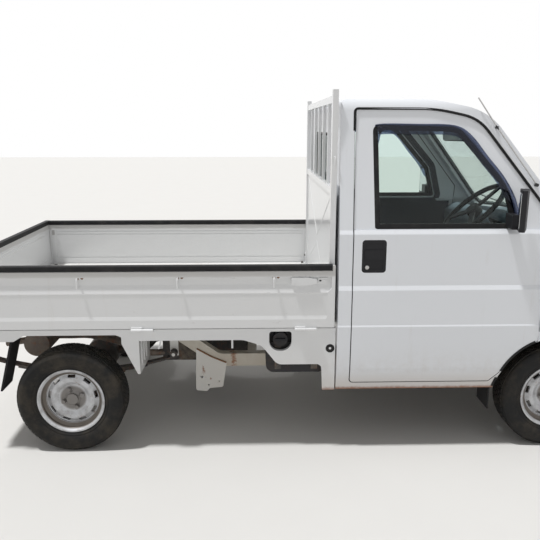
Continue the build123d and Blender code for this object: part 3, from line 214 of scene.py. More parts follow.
world = bpy.data.worlds.new("studio")
world.use_nodes = True
bpy.context.scene.world = world
sky = Tree(world.node_tree)
seen = sky.add("ShaderNodeLightPath", output="Is Camera Ray")
mirrored = sky.add("ShaderNodeLightPath", output="Is Glossy Ray")
through = sky.add("ShaderNodeLightPath", output="Is Transmission Ray")
backdrop = sky.math("MINIMUM", seen + mirrored + through, 1.0)
background = world.node_tree.nodes["Background"]
sky.join(backdrop * (1 - WORLD_LIGHT) + WORLD_LIGHT, background.inputs["Strength"])
sky.join((1.0, 1.0, 1.0), background.inputs["Color"])

for sun_name, strength, turn in (("key", KEY_STRENGTH, KEY_TURN), ("fill", FILL_STRENGTH, FILL_TURN)):
    sun = bpy.data.lights.new(sun_name, "SUN")
    sun.energy = strength
    sun.angle = SUN_SOFTNESS
    placed(sun_name, sun).rotation_euler = turn


# Cab panels: pressed steel, spot-welded and sprayed plain white, faded and gently orange-peeled,
# with road dirt low down and rust where the paint has chipped along the sills.
WHITE = (0.77, 0.79, 0.825)
BED_WHITE = (0.735, 0.74, 0.745)
DIRT = (0.42, 0.35, 0.27)
RUST = (0.23, 0.085, 0.03)
PEEL_SCALE = 420.0


def painted_steel(name, colour, dirt_top, dirt_share, rust_top, rust_share, gloss=0.28, edge_rust=0.0):
    """Sprayed steel with dirt up to one height and rust up to another, in metres above the ground."""
    finish = Finish(name, Coat_Weight=0.45, Coat_Roughness=0.12)
    height = finish.axis("Z")
    cloud = finish.noise(1.7, 3.0)
    fine = finish.noise(34.0, 6.0, 0.65)
    streak = finish.noise((26.0, 26.0, 2.2), 5.0, 0.6)
    low = finish.rise(height + (cloud - 0.5) * 0.16, dirt_top, 0.28)
    film = low * finish.rise(fine * 0.6 + streak * 0.4, 0.22, 0.80) * dirt_share
    foot = finish.rise(height + cloud * 0.06, 0.50, 0.37) * finish.rise(cloud, 0.30, 0.55)
    film = finish.math("MAXIMUM", film, foot * dirt_share * 0.95)
    smear = finish.rise(streak, 0.60, 0.78) * 0.10
    chips = finish.rise(finish.noise(19.0, 8.0, 0.7) + finish.noise(3.1, 2.0) * 0.5, 0.93, 0.99)
    near_foot = finish.rise(height, rust_top, rust_top - 0.05)
    edge = finish.rise(height + fine * 0.020, 0.352, 0.330) * finish.rise(cloud + fine * 0.4, 0.50, 0.72)
    rust = finish.math("MAXIMUM", chips * near_foot, edge * edge_rust) * rust_share
    finish.colour(cloud, tuple(c * 0.97 for c in colour), colour)
    finish.over(finish.math("MINIMUM", film + smear, 1.0), DIRT).over(rust, RUST)
    finish.set(Roughness=gloss + film * 0.35 + rust * 0.45)
    peel = finish.noise(PEEL_SCALE, 2.0)
    return finish.bump(peel * 0.10 + rust * 1.5 + fine * 0.12, 0.18, 0.0012)


cab_paint = painted_steel("white_cab_paint", WHITE, 0.62, 0.5, 0.372, 1.0, edge_rust=1.0)
bed_paint = painted_steel("white_bed_paint", BED_WHITE, 0.60, 0.30, 0.38, 0.8, edge_rust=1.0)
gate_paint = painted_steel("white_gate_paint", BED_WHITE, 0.60, 0.30, 0.38, 0.8)
bracket_paint = painted_steel("cream_bracket_paint", (0.68, 0.675, 0.65), 0.45, 0.25, 0.47, 0.8, 0.45)
frame_paint = painted_steel("cream_chassis_paint", (0.56, 0.53, 0.46), 0.70, 0.70, 0.75, 1.0, 0.5)


def dress(finish, *names):
    """Gives CAD nodes a finish."""
    for name in names:
        materials = nodes[name].data.materials
        materials.clear()
        materials.append(finish.material)


dress(cab_paint, "cab_back", "cab_sides", "roof", "nose_panel", "door_right_shell", "door_left_shell")
dress(bed_paint, "bed_skirts", "headboard", "splash_plates")
dress(gate_paint, "gate_right", "gate_left", "tailgate")
dress(bracket_paint, "frame_brackets")
dress(frame_paint, "frame", "cross_members")

# Frame joint: each side rail is made of two lengths of pressed steel, welded end to end under the
# bed, and the seam has rusted through its paint all round.
JOINT_X = -0.352
ragged = frame_paint.aside("X", JOINT_X) + frame_paint.noise(55.0, 5.0) * 0.07
frame_paint.over(frame_paint.rise(ragged, 0.052, 0.034) * 0.9, RUST)

# Gate faces: pressed steel sprayed with the bed, with a darker band under their rubber rails that is
# grime where rain leaves it and painted shade from the rail, and scuffs from ropes and loads outside.
# A band under each rail, darkened by grime and by painted shade standing for the rail's shadow.
rail_shadow_and_grime = gate_paint.rise(gate_paint.axis("Z") + gate_paint.noise(9.0, 3.0) * 0.010, 0.902, 0.916)
scuff = gate_paint.patches((7.0, 7.0, 26.0), 0.64, 0.72, 6.0)
gate_paint.over(rail_shadow_and_grime * 0.42, (0.24, 0.215, 0.185)).over(scuff * 0.35, (0.30, 0.285, 0.265))

# Bumper: moulded in one piece of white plastic that has dulled, wrapped round the nose and screwed
# on, scratched along its face and splashed from below.
bumper = Finish("white_bumper_plastic", Roughness=0.42)
splash = bumper.rise(bumper.axis("Z"), 0.48, 0.27) * bumper.noise(12.0, 6.0) * 0.8
scratches = bumper.patches((9.0, 9.0, 60.0), 0.58, 0.72, 6.0)
bumper.colour(splash, (0.74, 0.75, 0.75), DIRT).over(scratches * 0.18, (0.35, 0.35, 0.35))
bumper.bump(bumper.noise(600.0, 2.0), 0.10)
dress(bumper, "front_bumper")


# Black plastics: door handle plates, mirrors, grille, wipers and the steering wheel, moulded with
# a fine grain and bleached slightly where the sun reaches them.
def moulded_plastic(name, colour, grain_scale, roughness):
    """Grained plastic, a little paler and rougher in patches."""
    finish = Finish(name, Specular_IOR_Level=0.25)
    patches = finish.noise(5.0, 4.0)
    pale = tuple(c * 1.35 + 0.006 for c in colour)
    finish.colour(patches, colour, pale).set(Roughness=patches * 0.12 + roughness)
    return finish.bump(finish.noise(grain_scale, 3.0), 0.35, 0.0004)


black_plastic = moulded_plastic("black_plastic", (0.010, 0.010, 0.012), 900.0, 0.42)
grille_plastic = moulded_plastic("grille_plastic", (0.03, 0.03, 0.032), 500.0, 0.5)
dash_plastic = moulded_plastic("blue_grey_dash_plastic", (0.19, 0.22, 0.26), 650.0, 0.62)
floor_mat = moulded_plastic("black_floor_covering", (0.03, 0.03, 0.032), 240.0, 0.8)
dress(black_plastic, "door_right_fittings", "door_left_fittings", "wipers", "steering_wheel")
dress(grille_plastic, "grille")
dress(dash_plastic, "dashboard")
dress(floor_mat, "cab_floor")


# Glass: windscreen, rear window and door windows, sheets lightly tinted green and held in rubber,
# with a thin film of dust.
def see_through(finish, tint, ior, mirrored_share, film):
    """Lets light straight through, tinted; the finish itself shows as a film, and more at a slant."""
    clear = finish.add("ShaderNodeBsdfTransparent", {}, {"Color": tint})
    slant = finish.add("ShaderNodeFresnel", {}, {"IOR": ior})
    solid = Socket(finish, finish.shader.outputs[0])
    surface = finish.add("ShaderNodeMixShader", {}, {0: slant * mirrored_share + film, 1: clear, 2: solid})
    finish.join(surface, finish.tree.nodes["Material Output"].inputs["Surface"])


window_glass = Finish("green_window_glass", Base_Color=(1.0, 1.0, 1.0), Metallic=1.0, Roughness=0.03)
see_through(window_glass, (0.89, 0.935, 0.92), 1.5, 0.30, window_glass.patches(2.2, 0.45, 0.85) * 0.02)
dress(window_glass, "cab_glass", "door_right_glass", "door_left_glass")

# Rubber: gate rails, mud flaps and seals, moulded or drawn in strips and pushed or screwed onto the
# steel, matt black and dusty.
rubber = Finish("black_rubber", Specular_IOR_Level=0.25)
bloom = rubber.patches(14.0, 0.42, 0.75, 6.0)
rubber.colour(bloom * 0.25, (0.008, 0.008, 0.009), (0.10, 0.095, 0.088))
rubber.set(Roughness=bloom * 0.15 + 0.62).bump(rubber.noise(160.0, 4.0), 0.3, 0.0006)
dress(rubber, "gate_right_rail", "gate_left_rail", "tailgate_rail", "mud_flaps")


# Running gear: cast and forged iron bolted under the body, oily black with dry mud and surface rust.
# The muffler's bare steel is the rustiest, and the tank is sprayed black.
def worn_iron(name, colour, rust_share, mud_share=0.55):
    finish = Finish(name, Metallic=0.15)
    mud = finish.patches(7.0, 0.45, 0.72)
    crust = finish.patches(21.0, 0.50, 0.66, 8.0, 0.75) * rust_share
    finish.colour(mud * mud_share, colour, DIRT).over(crust, RUST).set(Roughness=mud * 0.2 + 0.6)
    return finish.bump(finish.noise(90.0, 6.0) + crust, 0.5, 0.001)


iron = worn_iron("oily_iron", (0.045, 0.042, 0.04), 0.35)
muffler_steel = worn_iron("rusty_muffler_steel", (0.16, 0.13, 0.11), 0.95)
dress(iron, "engine_block", "rear_axle", "leaf_springs", "front_suspension", "knuckle_right", "knuckle_left")
tank_paint = worn_iron("black_tank_paint", (0.012, 0.012, 0.014), 0.05, 0.08)
dress(muffler_steel, "muffler")
dress(tank_paint, "fuel_tank")

# Bed floor: ribbed steel sheet welded over the frame, white once, scratched to the metal by loads
# that slid on and off, and rusty in spots.
bed_floor_paint = Finish("scratched_bed_floor")
drag = bed_floor_paint.noise((3.0, 60.0, 1.0), 7.0, 0.75)
worn = bed_floor_paint.rise(drag, 0.58, 0.68)
stain = bed_floor_paint.patches(2.6, 0.42, 0.80) * 0.4
spots = bed_floor_paint.patches(23.0, 0.66, 0.72, 6.0) * 0.8
bed_floor_paint.colour(stain, (0.76, 0.76, 0.74), (0.48, 0.44, 0.37)).over(worn * 0.7, (0.30, 0.28, 0.26))
bed_floor_paint.over(spots, RUST)
bed_floor_paint.set(Roughness=worn * 0.2 + 0.45).bump(worn * -0.6 + drag * 0.3, 0.35, 0.001)
dress(bed_floor_paint, "bed_floor")

# Lamps: clear fluted lenses in front, each with a plated bowl and an amber end, and ribbed ones
# behind in red, amber and clear. All are moulded in plastic and screwed on.
clear_lens = Finish("clear_lamp_lens", Roughness=0.12, Coat_Weight=1.0, Coat_Roughness=0.03)
flutes = clear_lens.wave("Y", 30.0)
out_along = clear_lens.aside("Y")
bowl = clear_lens.reach(Y=out_along - 0.520, Z=clear_lens.axis("Z") - 0.772)
mirror_share = clear_lens.rise(bowl, 0.076, 0.070) * clear_lens.rise(bowl, 0.014, 0.018)
clear_lens.colour(flutes, (0.34, 0.36, 0.38), (0.58, 0.60, 0.62)).over(mirror_share, (0.86, 0.88, 0.90))
clear_lens.over(out_along > 0.640, (0.72, 0.26, 0.025))
clear_lens.set(Metallic=mirror_share * 0.75 + 0.10).bump(flutes, 0.5, 0.0012)
red_lens = Finish("red_lamp_lens", Roughness=0.12, Coat_Weight=0.6)
lens_ribs = red_lens.wave("Y", 55.0)
dress(clear_lens, "head_lamps")
lamp_span = red_lens.aside("Y")
lamp_red = red_lens.mix(lens_ribs, (0.38, 0.010, 0.008), (0.55, 0.022, 0.015))
lamp_amber = red_lens.mix(lens_ribs, (0.60, 0.17, 0.010), (0.78, 0.26, 0.020))
lamp_clear = red_lens.mix(lens_ribs, (0.55, 0.55, 0.54), (0.72, 0.72, 0.71))
red_lens.colour(lamp_span > 0.500, lamp_clear, lamp_red).over(lamp_span > 0.590, lamp_amber)
red_lens.bump(lens_ribs, 0.4, 0.0008)
dress(red_lens, "tail_lamps")


# Plated steel, and the aerial: a plated rod held off the right windscreen pillar by two clips of
# black plastic.
def plating(name):
    finish = Finish(name, Metallic=1.0)
    tarnish = finish.noise(60.0, 5.0)
    return finish.colour(tarnish, (0.55, 0.55, 0.56), (0.38, 0.36, 0.34)).set(Roughness=tarnish * 0.3 + 0.2)


AERIAL_CLIPS = ((1.078, 1.330), (0.880, 1.590))
CLIP_REACH = 0.011
plated = plating("plated_steel")
aerial_finish = plating("clipped_plated_aerial")
clipped = 0
for x, z in AERIAL_CLIPS:
    away = aerial_finish.reach(X=aerial_finish.axis("X") - x, Z=aerial_finish.axis("Z") - z)
    clipped = clipped + (away < CLIP_REACH)
aerial_finish.over(clipped, (0.012, 0.012, 0.014)).set(Metallic=1 - clipped)
dress(aerial_finish, "aerial")


# Tyres: radial rubber with a rounded sidewall, raised rings, and a road tread of blocks between
# four grooves. Each stands for its CAD solid, whose radius and width the blocks fill.
WHEELS = [(axle, side, sign) for axle in ("front", "rear") for side, sign in SIDES]
TYRE_STEPS = 96
TREAD_DEPTH = 0.006
TREAD_ROWS = 5
TREAD_BLOCKS = 64
GROOVE = 0.006
CROWN_DROP = 0.0006
SHARP = radians(35)
# Half of the carcass section. Columns: share of radius at the tread foot, share of half the width
CARCASS = ((0.592, 0.69), (0.640, 0.72), (0.665, 0.80), (0.690, 0.87), (0.715, 0.865), (0.740, 0.93),
           (0.790, 0.975), (0.845, 0.995), (0.890, 0.985), (0.905, 0.998), (0.925, 0.985), (0.955, 0.94),
           (0.978, 0.875), (0.992, 0.80), (1.0, 0.72), (1.0, 0.36), (1.0, 0.0))


def piece(name, vertices, faces, finish, body="chassis", bevel=0.0):
    """A closed mesh, its faces outward and its edges rounded by the bevel, that rides on a body."""
    mesh = bpy.data.meshes.new(name)
    mesh.from_pydata([tuple(v) for v in vertices], [], faces)
    form = bmesh.new()
    form.from_mesh(mesh)
    bmesh.ops.remove_doubles(form, verts=form.verts, dist=1e-6)
    bmesh.ops.recalc_face_normals(form, faces=form.faces)
    if bevel:
        sharp = [e for e in form.edges if e.is_manifold and e.calc_face_angle(0) > radians(30)]
        bmesh.ops.bevel(form, geom=sharp, offset=bevel, offset_type="OFFSET", segments=2, profile=0.5,
                        affect="EDGES", clamp_overlap=True)
    form.to_mesh(mesh)
    form.free()
    mesh.materials.append(finish.material)
    mesh.polygons.foreach_set("use_smooth", [True] * len(mesh.polygons))
    mesh.set_sharp_from_angle(angle=SHARP)
    thing = placed(name, mesh)
    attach(thing, body)
    return thing


def swept(name, rings, finish, body="chassis", bevel=0.0, closed=False):
    """A solid through rings of equally many points, its ends capped, or joined to each other if closed."""
    count = len(rings[0])
    ends = [0, (len(rings) - 1) * count]
    faces = [] if closed else [tuple(range(end, end + count)) for end in ends]
    for low in range(0, len(rings) * count if closed else ends[1], count):
        high = (low + count) % (len(rings) * count)
        faces += [(low + i, low + (i + 1) % count, high + (i + 1) % count, high + i) for i in range(count)]
    return piece(name, [point for ring in rings for point in ring], faces, finish, body, bevel)


def turned(name, section, centre, axis, finish, body="chassis", steps=28, closed=False):
    """Section points, (radius, along), turned about an axis through a centre, the first and last near
    the axis or, if closed, joined."""
    axis = Vector(axis).normalized()
    side = axis.orthogonal().normalized()
    other = axis.cross(side)
    turns = [2 * pi * step / steps for step in range(steps)]
    spokes = [side * cos(turn) + other * sin(turn) for turn in turns]
    rings = [[Vector(centre) + axis * along + spoke * radius for spoke in spokes]
             for radius, along in section]
    return swept(name, rings, finish, body, closed=closed)


def applied(thing):
    """The object's mesh with its modifiers made part of it."""
    mesh = bpy.data.meshes.new_from_object(thing.evaluated_get(bpy.context.evaluated_depsgraph_get()))
    thing.modifiers.clear()
    thing.data = mesh
    return mesh


class Pattern(Tree):
    """A Geometry Nodes tree with named inputs, each of its kind, turned into a plain mesh."""

    def __init__(self, name, **inputs):
        super().__init__(bpy.data.node_groups.new(name, "GeometryNodeTree"))
        new_socket = self.tree.interface.new_socket
        self.identifiers = {}
        for key, kind in {"Geometry": "Geometry", **inputs}.items():
            made = new_socket(key, in_out="INPUT", socket_type=f"NodeSocket{kind}")
            self.identifiers[key] = made.identifier
        new_socket("Geometry", in_out="OUTPUT", socket_type="NodeSocketGeometry")
        self.inputs = self.tree.nodes.new("NodeGroupInput")

    def input(self, key):
        return Socket(self, self.inputs.outputs[key])

    def end(self, geometry):
        real = self.add("GeometryNodeRealizeInstances", {}, {"Geometry": geometry})
        dressed = self.add("GeometryNodeSetMaterial", {}, {"Geometry": real,
                                                           "Material": self.input("Material")})
        leaving = self.tree.nodes.new("NodeGroupOutput")
        self.join(dressed, leaving.inputs["Geometry"])

    def make(self, name, mesh, body, **values):
        """The tree run on a mesh with these inputs, as a plain piece that rides on a body."""
        thing = placed(name, mesh)
        modifier = thing.modifiers.new(self.tree.name, "NODES")
        modifier.node_group = self.tree
        for key, value in values.items():
            modifier[self.identifiers[key]] = value
        applied(thing).name = name
        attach(thing, body)
        return thing


tread = Pattern("tread_blocks", Centre="Vector", Blocks="Int", Rows="Int", Radius="Float", Width="Float",
                Groove="Float", Depth="Float", Material="Material")
blocks, rows = tread.input("Blocks"), tread.input("Rows")
line = tread.add("GeometryNodeMeshLine", {"mode": "OFFSET"}, {"Count": blocks * rows})
index = tread.add("GeometryNodeInputIndex")
row = index % rows
ring_step = tread.math("FLOOR", index / rows)
pitch = 2 * pi / blocks
slew = (row % 2) * 0.5
turn = (ring_step + slew) * pitch
row_width = tread.input("Width") / rows
reach = tread.input("Radius") - tread.input("Depth") * 0.5
across = (row + 0.5) * row_width - tread.input("Width") * 0.5
spot = tread.add("ShaderNodeCombineXYZ", {}, {"X": reach * tread.math("COSINE", turn), "Y": across,
                                              "Z": reach * tread.math("SINE", turn)})
spot = tread.add("ShaderNodeVectorMath", {"operation": "ADD"}, {0: spot, 1: tread.input("Centre")})
spots = tread.add("GeometryNodeSetPosition", {}, {"Geometry": line, "Position": spot})
block_size = tread.add("ShaderNodeCombineXYZ", {}, {"X": tread.input("Depth"),
                                                    "Y": row_width - tread.input("Groove"),
                                                    "Z": reach * pitch - tread.input("Groove") * 0.5})
block_mesh = tread.add("GeometryNodeMeshCube", {}, {"Size": block_size})
block_turn = tread.add("ShaderNodeCombineXYZ", {}, {"Y": turn * -1})
tread.end(tread.add("GeometryNodeInstanceOnPoints", {}, {"Points": spots, "Instance": block_mesh,
                                                         "Rotation": block_turn}))

tyre_rubber = Finish("tyre_rubber", Specular_IOR_Level=0.25)
tyre_dust = tyre_rubber.patches(9.0, 0.38, 0.78)
tyre_rubber.colour(tyre_dust * 0.40, (0.010, 0.010, 0.010), (0.12, 0.10, 0.075))
tyre_rubber.set(Roughness=tyre_dust * 0.15 + 0.68).bump(tyre_rubber.noise(220.0, 5.0), 0.25, 0.0006)

for axle, side, sign in WHEELS:
    wheel = f"wheel_{axle}_{side}"
    low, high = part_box(f"tyre_{axle}_{side}")
    centre = (low + high) / 2
    radius = (high.z - low.z) / 2
    half = (high.y - low.y) / 2
    foot = radius - TREAD_DEPTH
    outer = [(share * foot, along * half) for share, along in CARCASS]
    inner = [(share * foot - 0.010 if share > 0.7 else share * foot, along * half * 0.9)
             for share, along in reversed(CARCASS) if share > 0.64]
    section = outer + [(r, -a) for r, a in reversed(outer[:-1])]
    section += [(r, -a) for r, a in reversed(inner[1:])] + inner
    carcass = turned(f"tyre_{axle}_{side}_carcass", section, centre, (0, 1, 0), tyre_rubber, wheel,
                     TYRE_STEPS, closed=True)
    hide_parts(f"tyre_{axle}_{side}")
    blocks_mesh = tread.make(f"tyre_{axle}_{side}_tread", bpy.data.meshes.new("tread"), wheel,
                             Centre=tuple(centre), Blocks=TREAD_BLOCKS, Rows=TREAD_ROWS,
                             Radius=radius - CROWN_DROP, Width=half * 1.50, Groove=GROOVE,
                             Depth=TREAD_DEPTH + 0.001, Material=tyre_rubber.material)

# Wheels: pressed steel discs welded into rolled rims, sprayed silver grey, dulled by brake dust
# and mud, with rust round the nuts and a painted shade on the ring between the rim's flange and disc.
wheel_paint = Finish("silver_wheel_paint", Metallic=0.35)
brake_dust = wheel_paint.patches(16.0, 0.35, 0.75)
wheel_rust = wheel_paint.patches(38.0, 0.60, 0.68, 7.0, 0.75)
AXLES_MIDDLE = 0.0625
HALF_WHEELBASE = 1.21
AXLE_HEIGHT = 0.268
wheel_radius = wheel_paint.reach(X=wheel_paint.aside("X", AXLES_MIDDLE) - HALF_WHEELBASE,
                                 Z=wheel_paint.axis("Z") - AXLE_HEIGHT)
# The ring between the rim's flange and its disc is darkened as painted shade.
painted_well_shade = wheel_paint.rise(wheel_radius, 0.128, 0.134) * wheel_paint.rise(wheel_radius, 0.154, 0.148)
hub = wheel_paint.rise(wheel_radius, 0.074, 0.056) * wheel_paint.rise(brake_dust + 0.42, 0.1, 0.6)
# One brown for the brake dust, the hub's dirt and the ring's painted shade.
dust_and_shade = wheel_paint.math("MAXIMUM", brake_dust * 0.50, wheel_paint.math("MAXIMUM", painted_well_shade * 0.92, hub * 0.76))
wheel_paint.colour(dust_and_shade, (0.60, 0.61, 0.63), (0.10, 0.080, 0.060)).over(wheel_rust * 0.8, RUST)
wheel_paint.set(Roughness=brake_dust * 0.25 + 0.38).bump(wheel_rust + brake_dust * 0.3, 0.3, 0.0008)
dress(wheel_paint, *[f"rim_{axle}_{side}" for axle, side, sign in WHEELS])


# Door window channels: black rubber that holds the glass all round its opening, flat and wide,
# on both doors. Corners of the opening: x, z, rounding.
WINDOW = ((0.332, 1.126, 0.012), (0.312, 1.604, 0.030), (0.712, 1.594, 0.090), (0.955, 1.325, 0.060),
          (1.010, 1.126, 0.012))
CHANNEL_WIDTH = 0.024
CHANNEL_IN = 0.012
CHANNEL_OUT = 0.006
PATH_STEP = 0.04


def rounded(corners, steps=6):
    """Points round a closed outline whose corners (a, b, radius) are rounded."""
    points = []
    for number, (a, b, radius) in enumerate(corners):
        corner = Vector((a, b))
        back = (Vector(corners[number - 1][:2]) - corner).normalized()
        ahead = (Vector(corners[(number + 1) % len(corners)][:2]) - corner).normalized()
        if radius == 0:
            points.append(corner)
            continue
        half_angle = back.angle(ahead) / 2
        centre = corner + (back + ahead).normalized() * (radius / sin(half_angle))
        start = corner + back * (radius / tan(half_angle)) - centre
        end = corner + ahead * (radius / tan(half_angle)) - centre
        for step in range(steps + 1):
            points.append(centre + start.lerp(end, step / steps).normalized() * radius)
    return points


def inset(corners, distance):
    """The outline moved inward all round; a negative distance moves it outward."""
    count = len(corners)
    area = sum(corners[i - 1][0] * corners[i][1] - corners[i][0] * corners[i - 1][1] for i in range(count))
    way = 1 if area > 0 else -1
    moved = []
    for number, (a, b, radius) in enumerate(corners):
        before, after = corners[number - 1], corners[(number + 1) % count]
        first = Vector((a - before[0], b - before[1])).normalized()
        second = Vector((after[0] - a, after[1] - b)).normalized()
        inward = Vector((-first.y, first.x)) * way + Vector((-second.y, second.x)) * way
        corner = Vector((a, b)) + inward * (distance / (1 + first.dot(second)))
        moved.append((corner.x, corner.y, max(radius - distance, 0.002) if radius else 0))
    return moved


def walked(points, closed=True, step=PATH_STEP):
    """The same line with points no further apart than a step."""
    ends = points[1:] + ([points[0]] if closed else [])
    line = []
    for start, end in zip(points, ends):
        parts = max(1, int((end - start).length / step))
        line += [start.lerp(end, part / parts) for part in range(parts)]
    return line if closed else line + [points[-1]]


def outline(corners, distance):
    """Points all round an outline that is first moved inward."""
    return walked(rounded(inset(corners, distance)))


def surface(*names):
    """The faces of some CAD nodes, to lay pieces on."""
    vertices, faces = [], []
    for name in names:
        base = len(vertices)
        vertices += [v.co.copy() for v in nodes[name].data.vertices]
        faces += [[base + corner for corner in p.vertices] for p in nodes[name].data.polygons]
    return BVHTree.FromPolygons(vertices, faces)


def laid(tree, points, towards, lift=0.0):
    """Each point moved along a direction until it meets the surface, then lifted back off it."""
    towards = Vector(towards).normalized()
    found = []
    for point in points:
        hit = tree.ray_cast(Vector(point) - towards * 2, towards)[0]
        found.append((hit if hit is not None else Vector(point)) - towards * lift)
    return found


def on_side(sign, line, *names):
    """A line, points (x, z), laid on CAD nodes as seen from the side with that sign."""
    return laid(surface(*names), [Vector((x, 0, z)) for x, z in line], (0, -sign, 0))


def trim(name, path, outward, section, finish, body="chassis", closed=True):
    """A strip: a section, corners (beside, out), swept along a path; outward is its own out direction."""
    rings = []
    for number, point in enumerate(path):
        before = path[number - 1] if closed or number else point
        after = path[(number + 1) % len(path)] if closed or number < len(path) - 1 else point
        along = (after - before).normalized()
        beside = Vector(outward).cross(along).normalized()
        out = along.cross(beside)
        share = section(number / (len(path) - 1)) if callable(section) else section
        rings.append([point + beside * b + out * o for b, o in share])
    return swept(name, rings, finish, body, closed=closed)


BAND_HALF = CHANNEL_WIDTH / 2
CHANNEL_BEAD = 0.002
half_band = [(BAND_HALF / 2, CHANNEL_OUT + CHANNEL_BEAD), (BAND_HALF, CHANNEL_OUT), (BAND_HALF, -CHANNEL_IN)]
band = [(-beside, out) for beside, out in reversed(half_band)] + half_band
for side, sign in SIDES:
    ring = on_side(sign, outline(WINDOW, BAND_HALF), f"door_{side}_glass")
    trim(f"door_{side}_window_channel", ring, (0, sign, 0), band, rubber, f"door_{side}")

# Door visors: strips of smoked acrylic stuck to the window frame above each door window, bowed
# outward and closed at the ends. Points of its upper edge: x, z.
VISOR_PATH = ((0.325, 1.500), (0.322, 1.585), (0.345, 1.606), (0.520, 1.606), (0.690, 1.600), (0.770, 1.556),
              (0.850, 1.462), (0.935, 1.362), (0.992, 1.262), (1.012, 1.180))
VISOR_DEPTH = 0.047
VISOR_BOW = 0.015
VISOR_SHEET = 0.0028
smoked = Finish("smoked_acrylic", Base_Color=(0.9, 0.92, 1.0), Roughness=0.05, Metallic=1.0)
see_through(smoked, (0.42, 0.46, 0.56), 1.45, 0.5, 0.010)


def visor_section(share):
    """The strip's section, narrower towards its two ends."""
    full = min(1.0, 0.25 + 5 * share, 0.25 + 5 * (1 - share))
    depth, bow = VISOR_DEPTH * full, VISOR_BOW * full
    face = [(0.0, 0.002), (-0.30 * depth, 0.002 + 0.72 * bow), (-0.65 * depth, 0.002 + bow),
            (-depth, 0.002 + 0.92 * bow)]
    return face + [(beside, out - VISOR_SHEET) for beside, out in reversed(face)]


def smooth_line(points, parts=6):
    """A rounder line through the points, with so many parts to each span."""
    points = [Vector(p) for p in points]
    ends = [points[0] * 2 - points[1]] + points + [points[-1] * 2 - points[-2]]
    line = []
    for a, b, c, d in zip(ends, ends[1:], ends[2:], ends[3:]):
        for part in range(parts):
            t = part / parts
            line.append(0.5 * (2 * b + (c - a) * t + (2 * a - 5 * b + 4 * c - d) * t * t
                               + (3 * b - a - 3 * c + d) * t ** 3))
    return line + [points[-1]]


for side, sign in SIDES:
    rim = on_side(sign, smooth_line(VISOR_PATH), f"door_{side}_shell", f"door_{side}_glass")
    if sign > 0:
        rim.reverse()
    trim(f"door_{side}_visor", rim, (0, sign, 0), visor_section, smoked, f"door_{side}", closed=False)

# Belt strips: the bright metal lip of the weatherstrip that wipes each door glass, clipped to the
# door above the lower channel.
BELT_LIP = ((-0.0016, -0.002), (-0.0016, 0.0030), (0.0016, 0.0034), (0.0016, -0.002))
for side, sign in SIDES:
    line = on_side(sign, [(0.352 + 0.080 * step, 1.1415) for step in range(9)], f"door_{side}_glass")
    trim(f"door_{side}_belt_strip", line, (0, sign, 0), BELT_LIP, plated, f"door_{side}", closed=False)

# Door seals: a black rubber lip in the gap round each door, and a wider one in the gutter over it and
# down the windscreen pillar, pushed onto the flange of the cab. Corners of the door: x, z, rounding.
DOOR = ((0.228, 0.358, 0.022), (0.228, 1.674, 0.016), (0.600, 1.673, 0.700), (0.800, 1.630, 0.200),
        (1.150, 1.201, 0.010), (1.150, 0.575, 0.008), (1.062, 0.518, 0.260), (0.966, 0.400, 0.160),
        (0.926, 0.358, 0.012))
DOOR_GAP = 0.005
DOOR_MIDDLE = Vector((0.69, 1.0))
lip = [(-0.0022, -0.030), (-0.0022, -0.012), (0.0022, -0.012), (0.0022, -0.030)]
gutter = [(-0.0022, -0.010), (-0.0022, 0.0010), (0.0008, 0.0024), (0.0078, 0.0020), (0.0092, -0.0010),
          (0.0030, -0.0010), (0.0022, -0.010)]


def beside_gap(names, sign, line, inward):
    """Points of a line in the gap, as far out as the skin is at that distance towards the door's middle."""
    look = [point + (DOOR_MIDDLE - point).normalized() * inward for point in line]
    return [Vector((point.x, hit.y, point.y)) for point, hit in zip(line, on_side(sign, look, *names))]


for side, sign in SIDES:
    line = outline(DOOR, DOOR_GAP / 2)
    ring = beside_gap([f"door_{side}_shell"], sign, line, 0.012)
    trim(f"door_{side}_gap_seal", ring, (0, sign, 0), lip, rubber)
    over = [p for p in line if (p.x < 0.3 and p.y > 1.545) or (p.x >= 0.3 and p.y > 1.215)]
    path = beside_gap(["cab_sides", "roof", "cab_back"], sign, over, -0.012)
    if sign > 0:
        path.reverse()
    trim(f"gutter_seal_{side}", path, (0, sign, 0), gutter, rubber, closed=False)

# Front arch lips: black rubber edging pushed over the edge of each front wheel opening, its middle part
# on the corner of the door. Spans of the arch: from, to (degrees), on the door.
ARCH_CENTRE = Vector((1.2725, 0.0, 0.275))
ARCH_EDGE = 0.3215
ARCH_LIP = 0.012
ARCH_SPANS = ((4, 109, False), (115, 154, True), (161, 170, False))
lip = [(-ARCH_LIP / 2, -0.004), (-ARCH_LIP / 2, 0.001), (-ARCH_LIP / 4, 0.003), (ARCH_LIP / 4, 0.003),
       (ARCH_LIP / 2, 0.001), (ARCH_LIP / 2, -0.004)]
for side, sign in SIDES:
    skin = surface("cab_sides", "nose_panel", "front_bumper", f"door_{side}_shell")
    for number, (start, end, on_door) in enumerate(ARCH_SPANS):
        steps = (end - start) // 4 + 1
        path = []
        for step in range(steps + 1):
            turn = radians(start + (end - start) * step / steps)
            spoke = Vector((cos(turn), 0, sin(turn)))
            hit = laid(skin, [ARCH_CENTRE + spoke * (ARCH_EDGE + ARCH_LIP)], (0, -sign, 0))[0]
            path.append(Vector((ARCH_CENTRE.x, hit.y, ARCH_CENTRE.z)) + spoke * (ARCH_EDGE + ARCH_LIP / 2))
        trim(f"front_arch_lip_{side}_{number + 1}", path, (0, sign, 0), lip, rubber,
             f"door_{side}" if on_door else "chassis", closed=False)

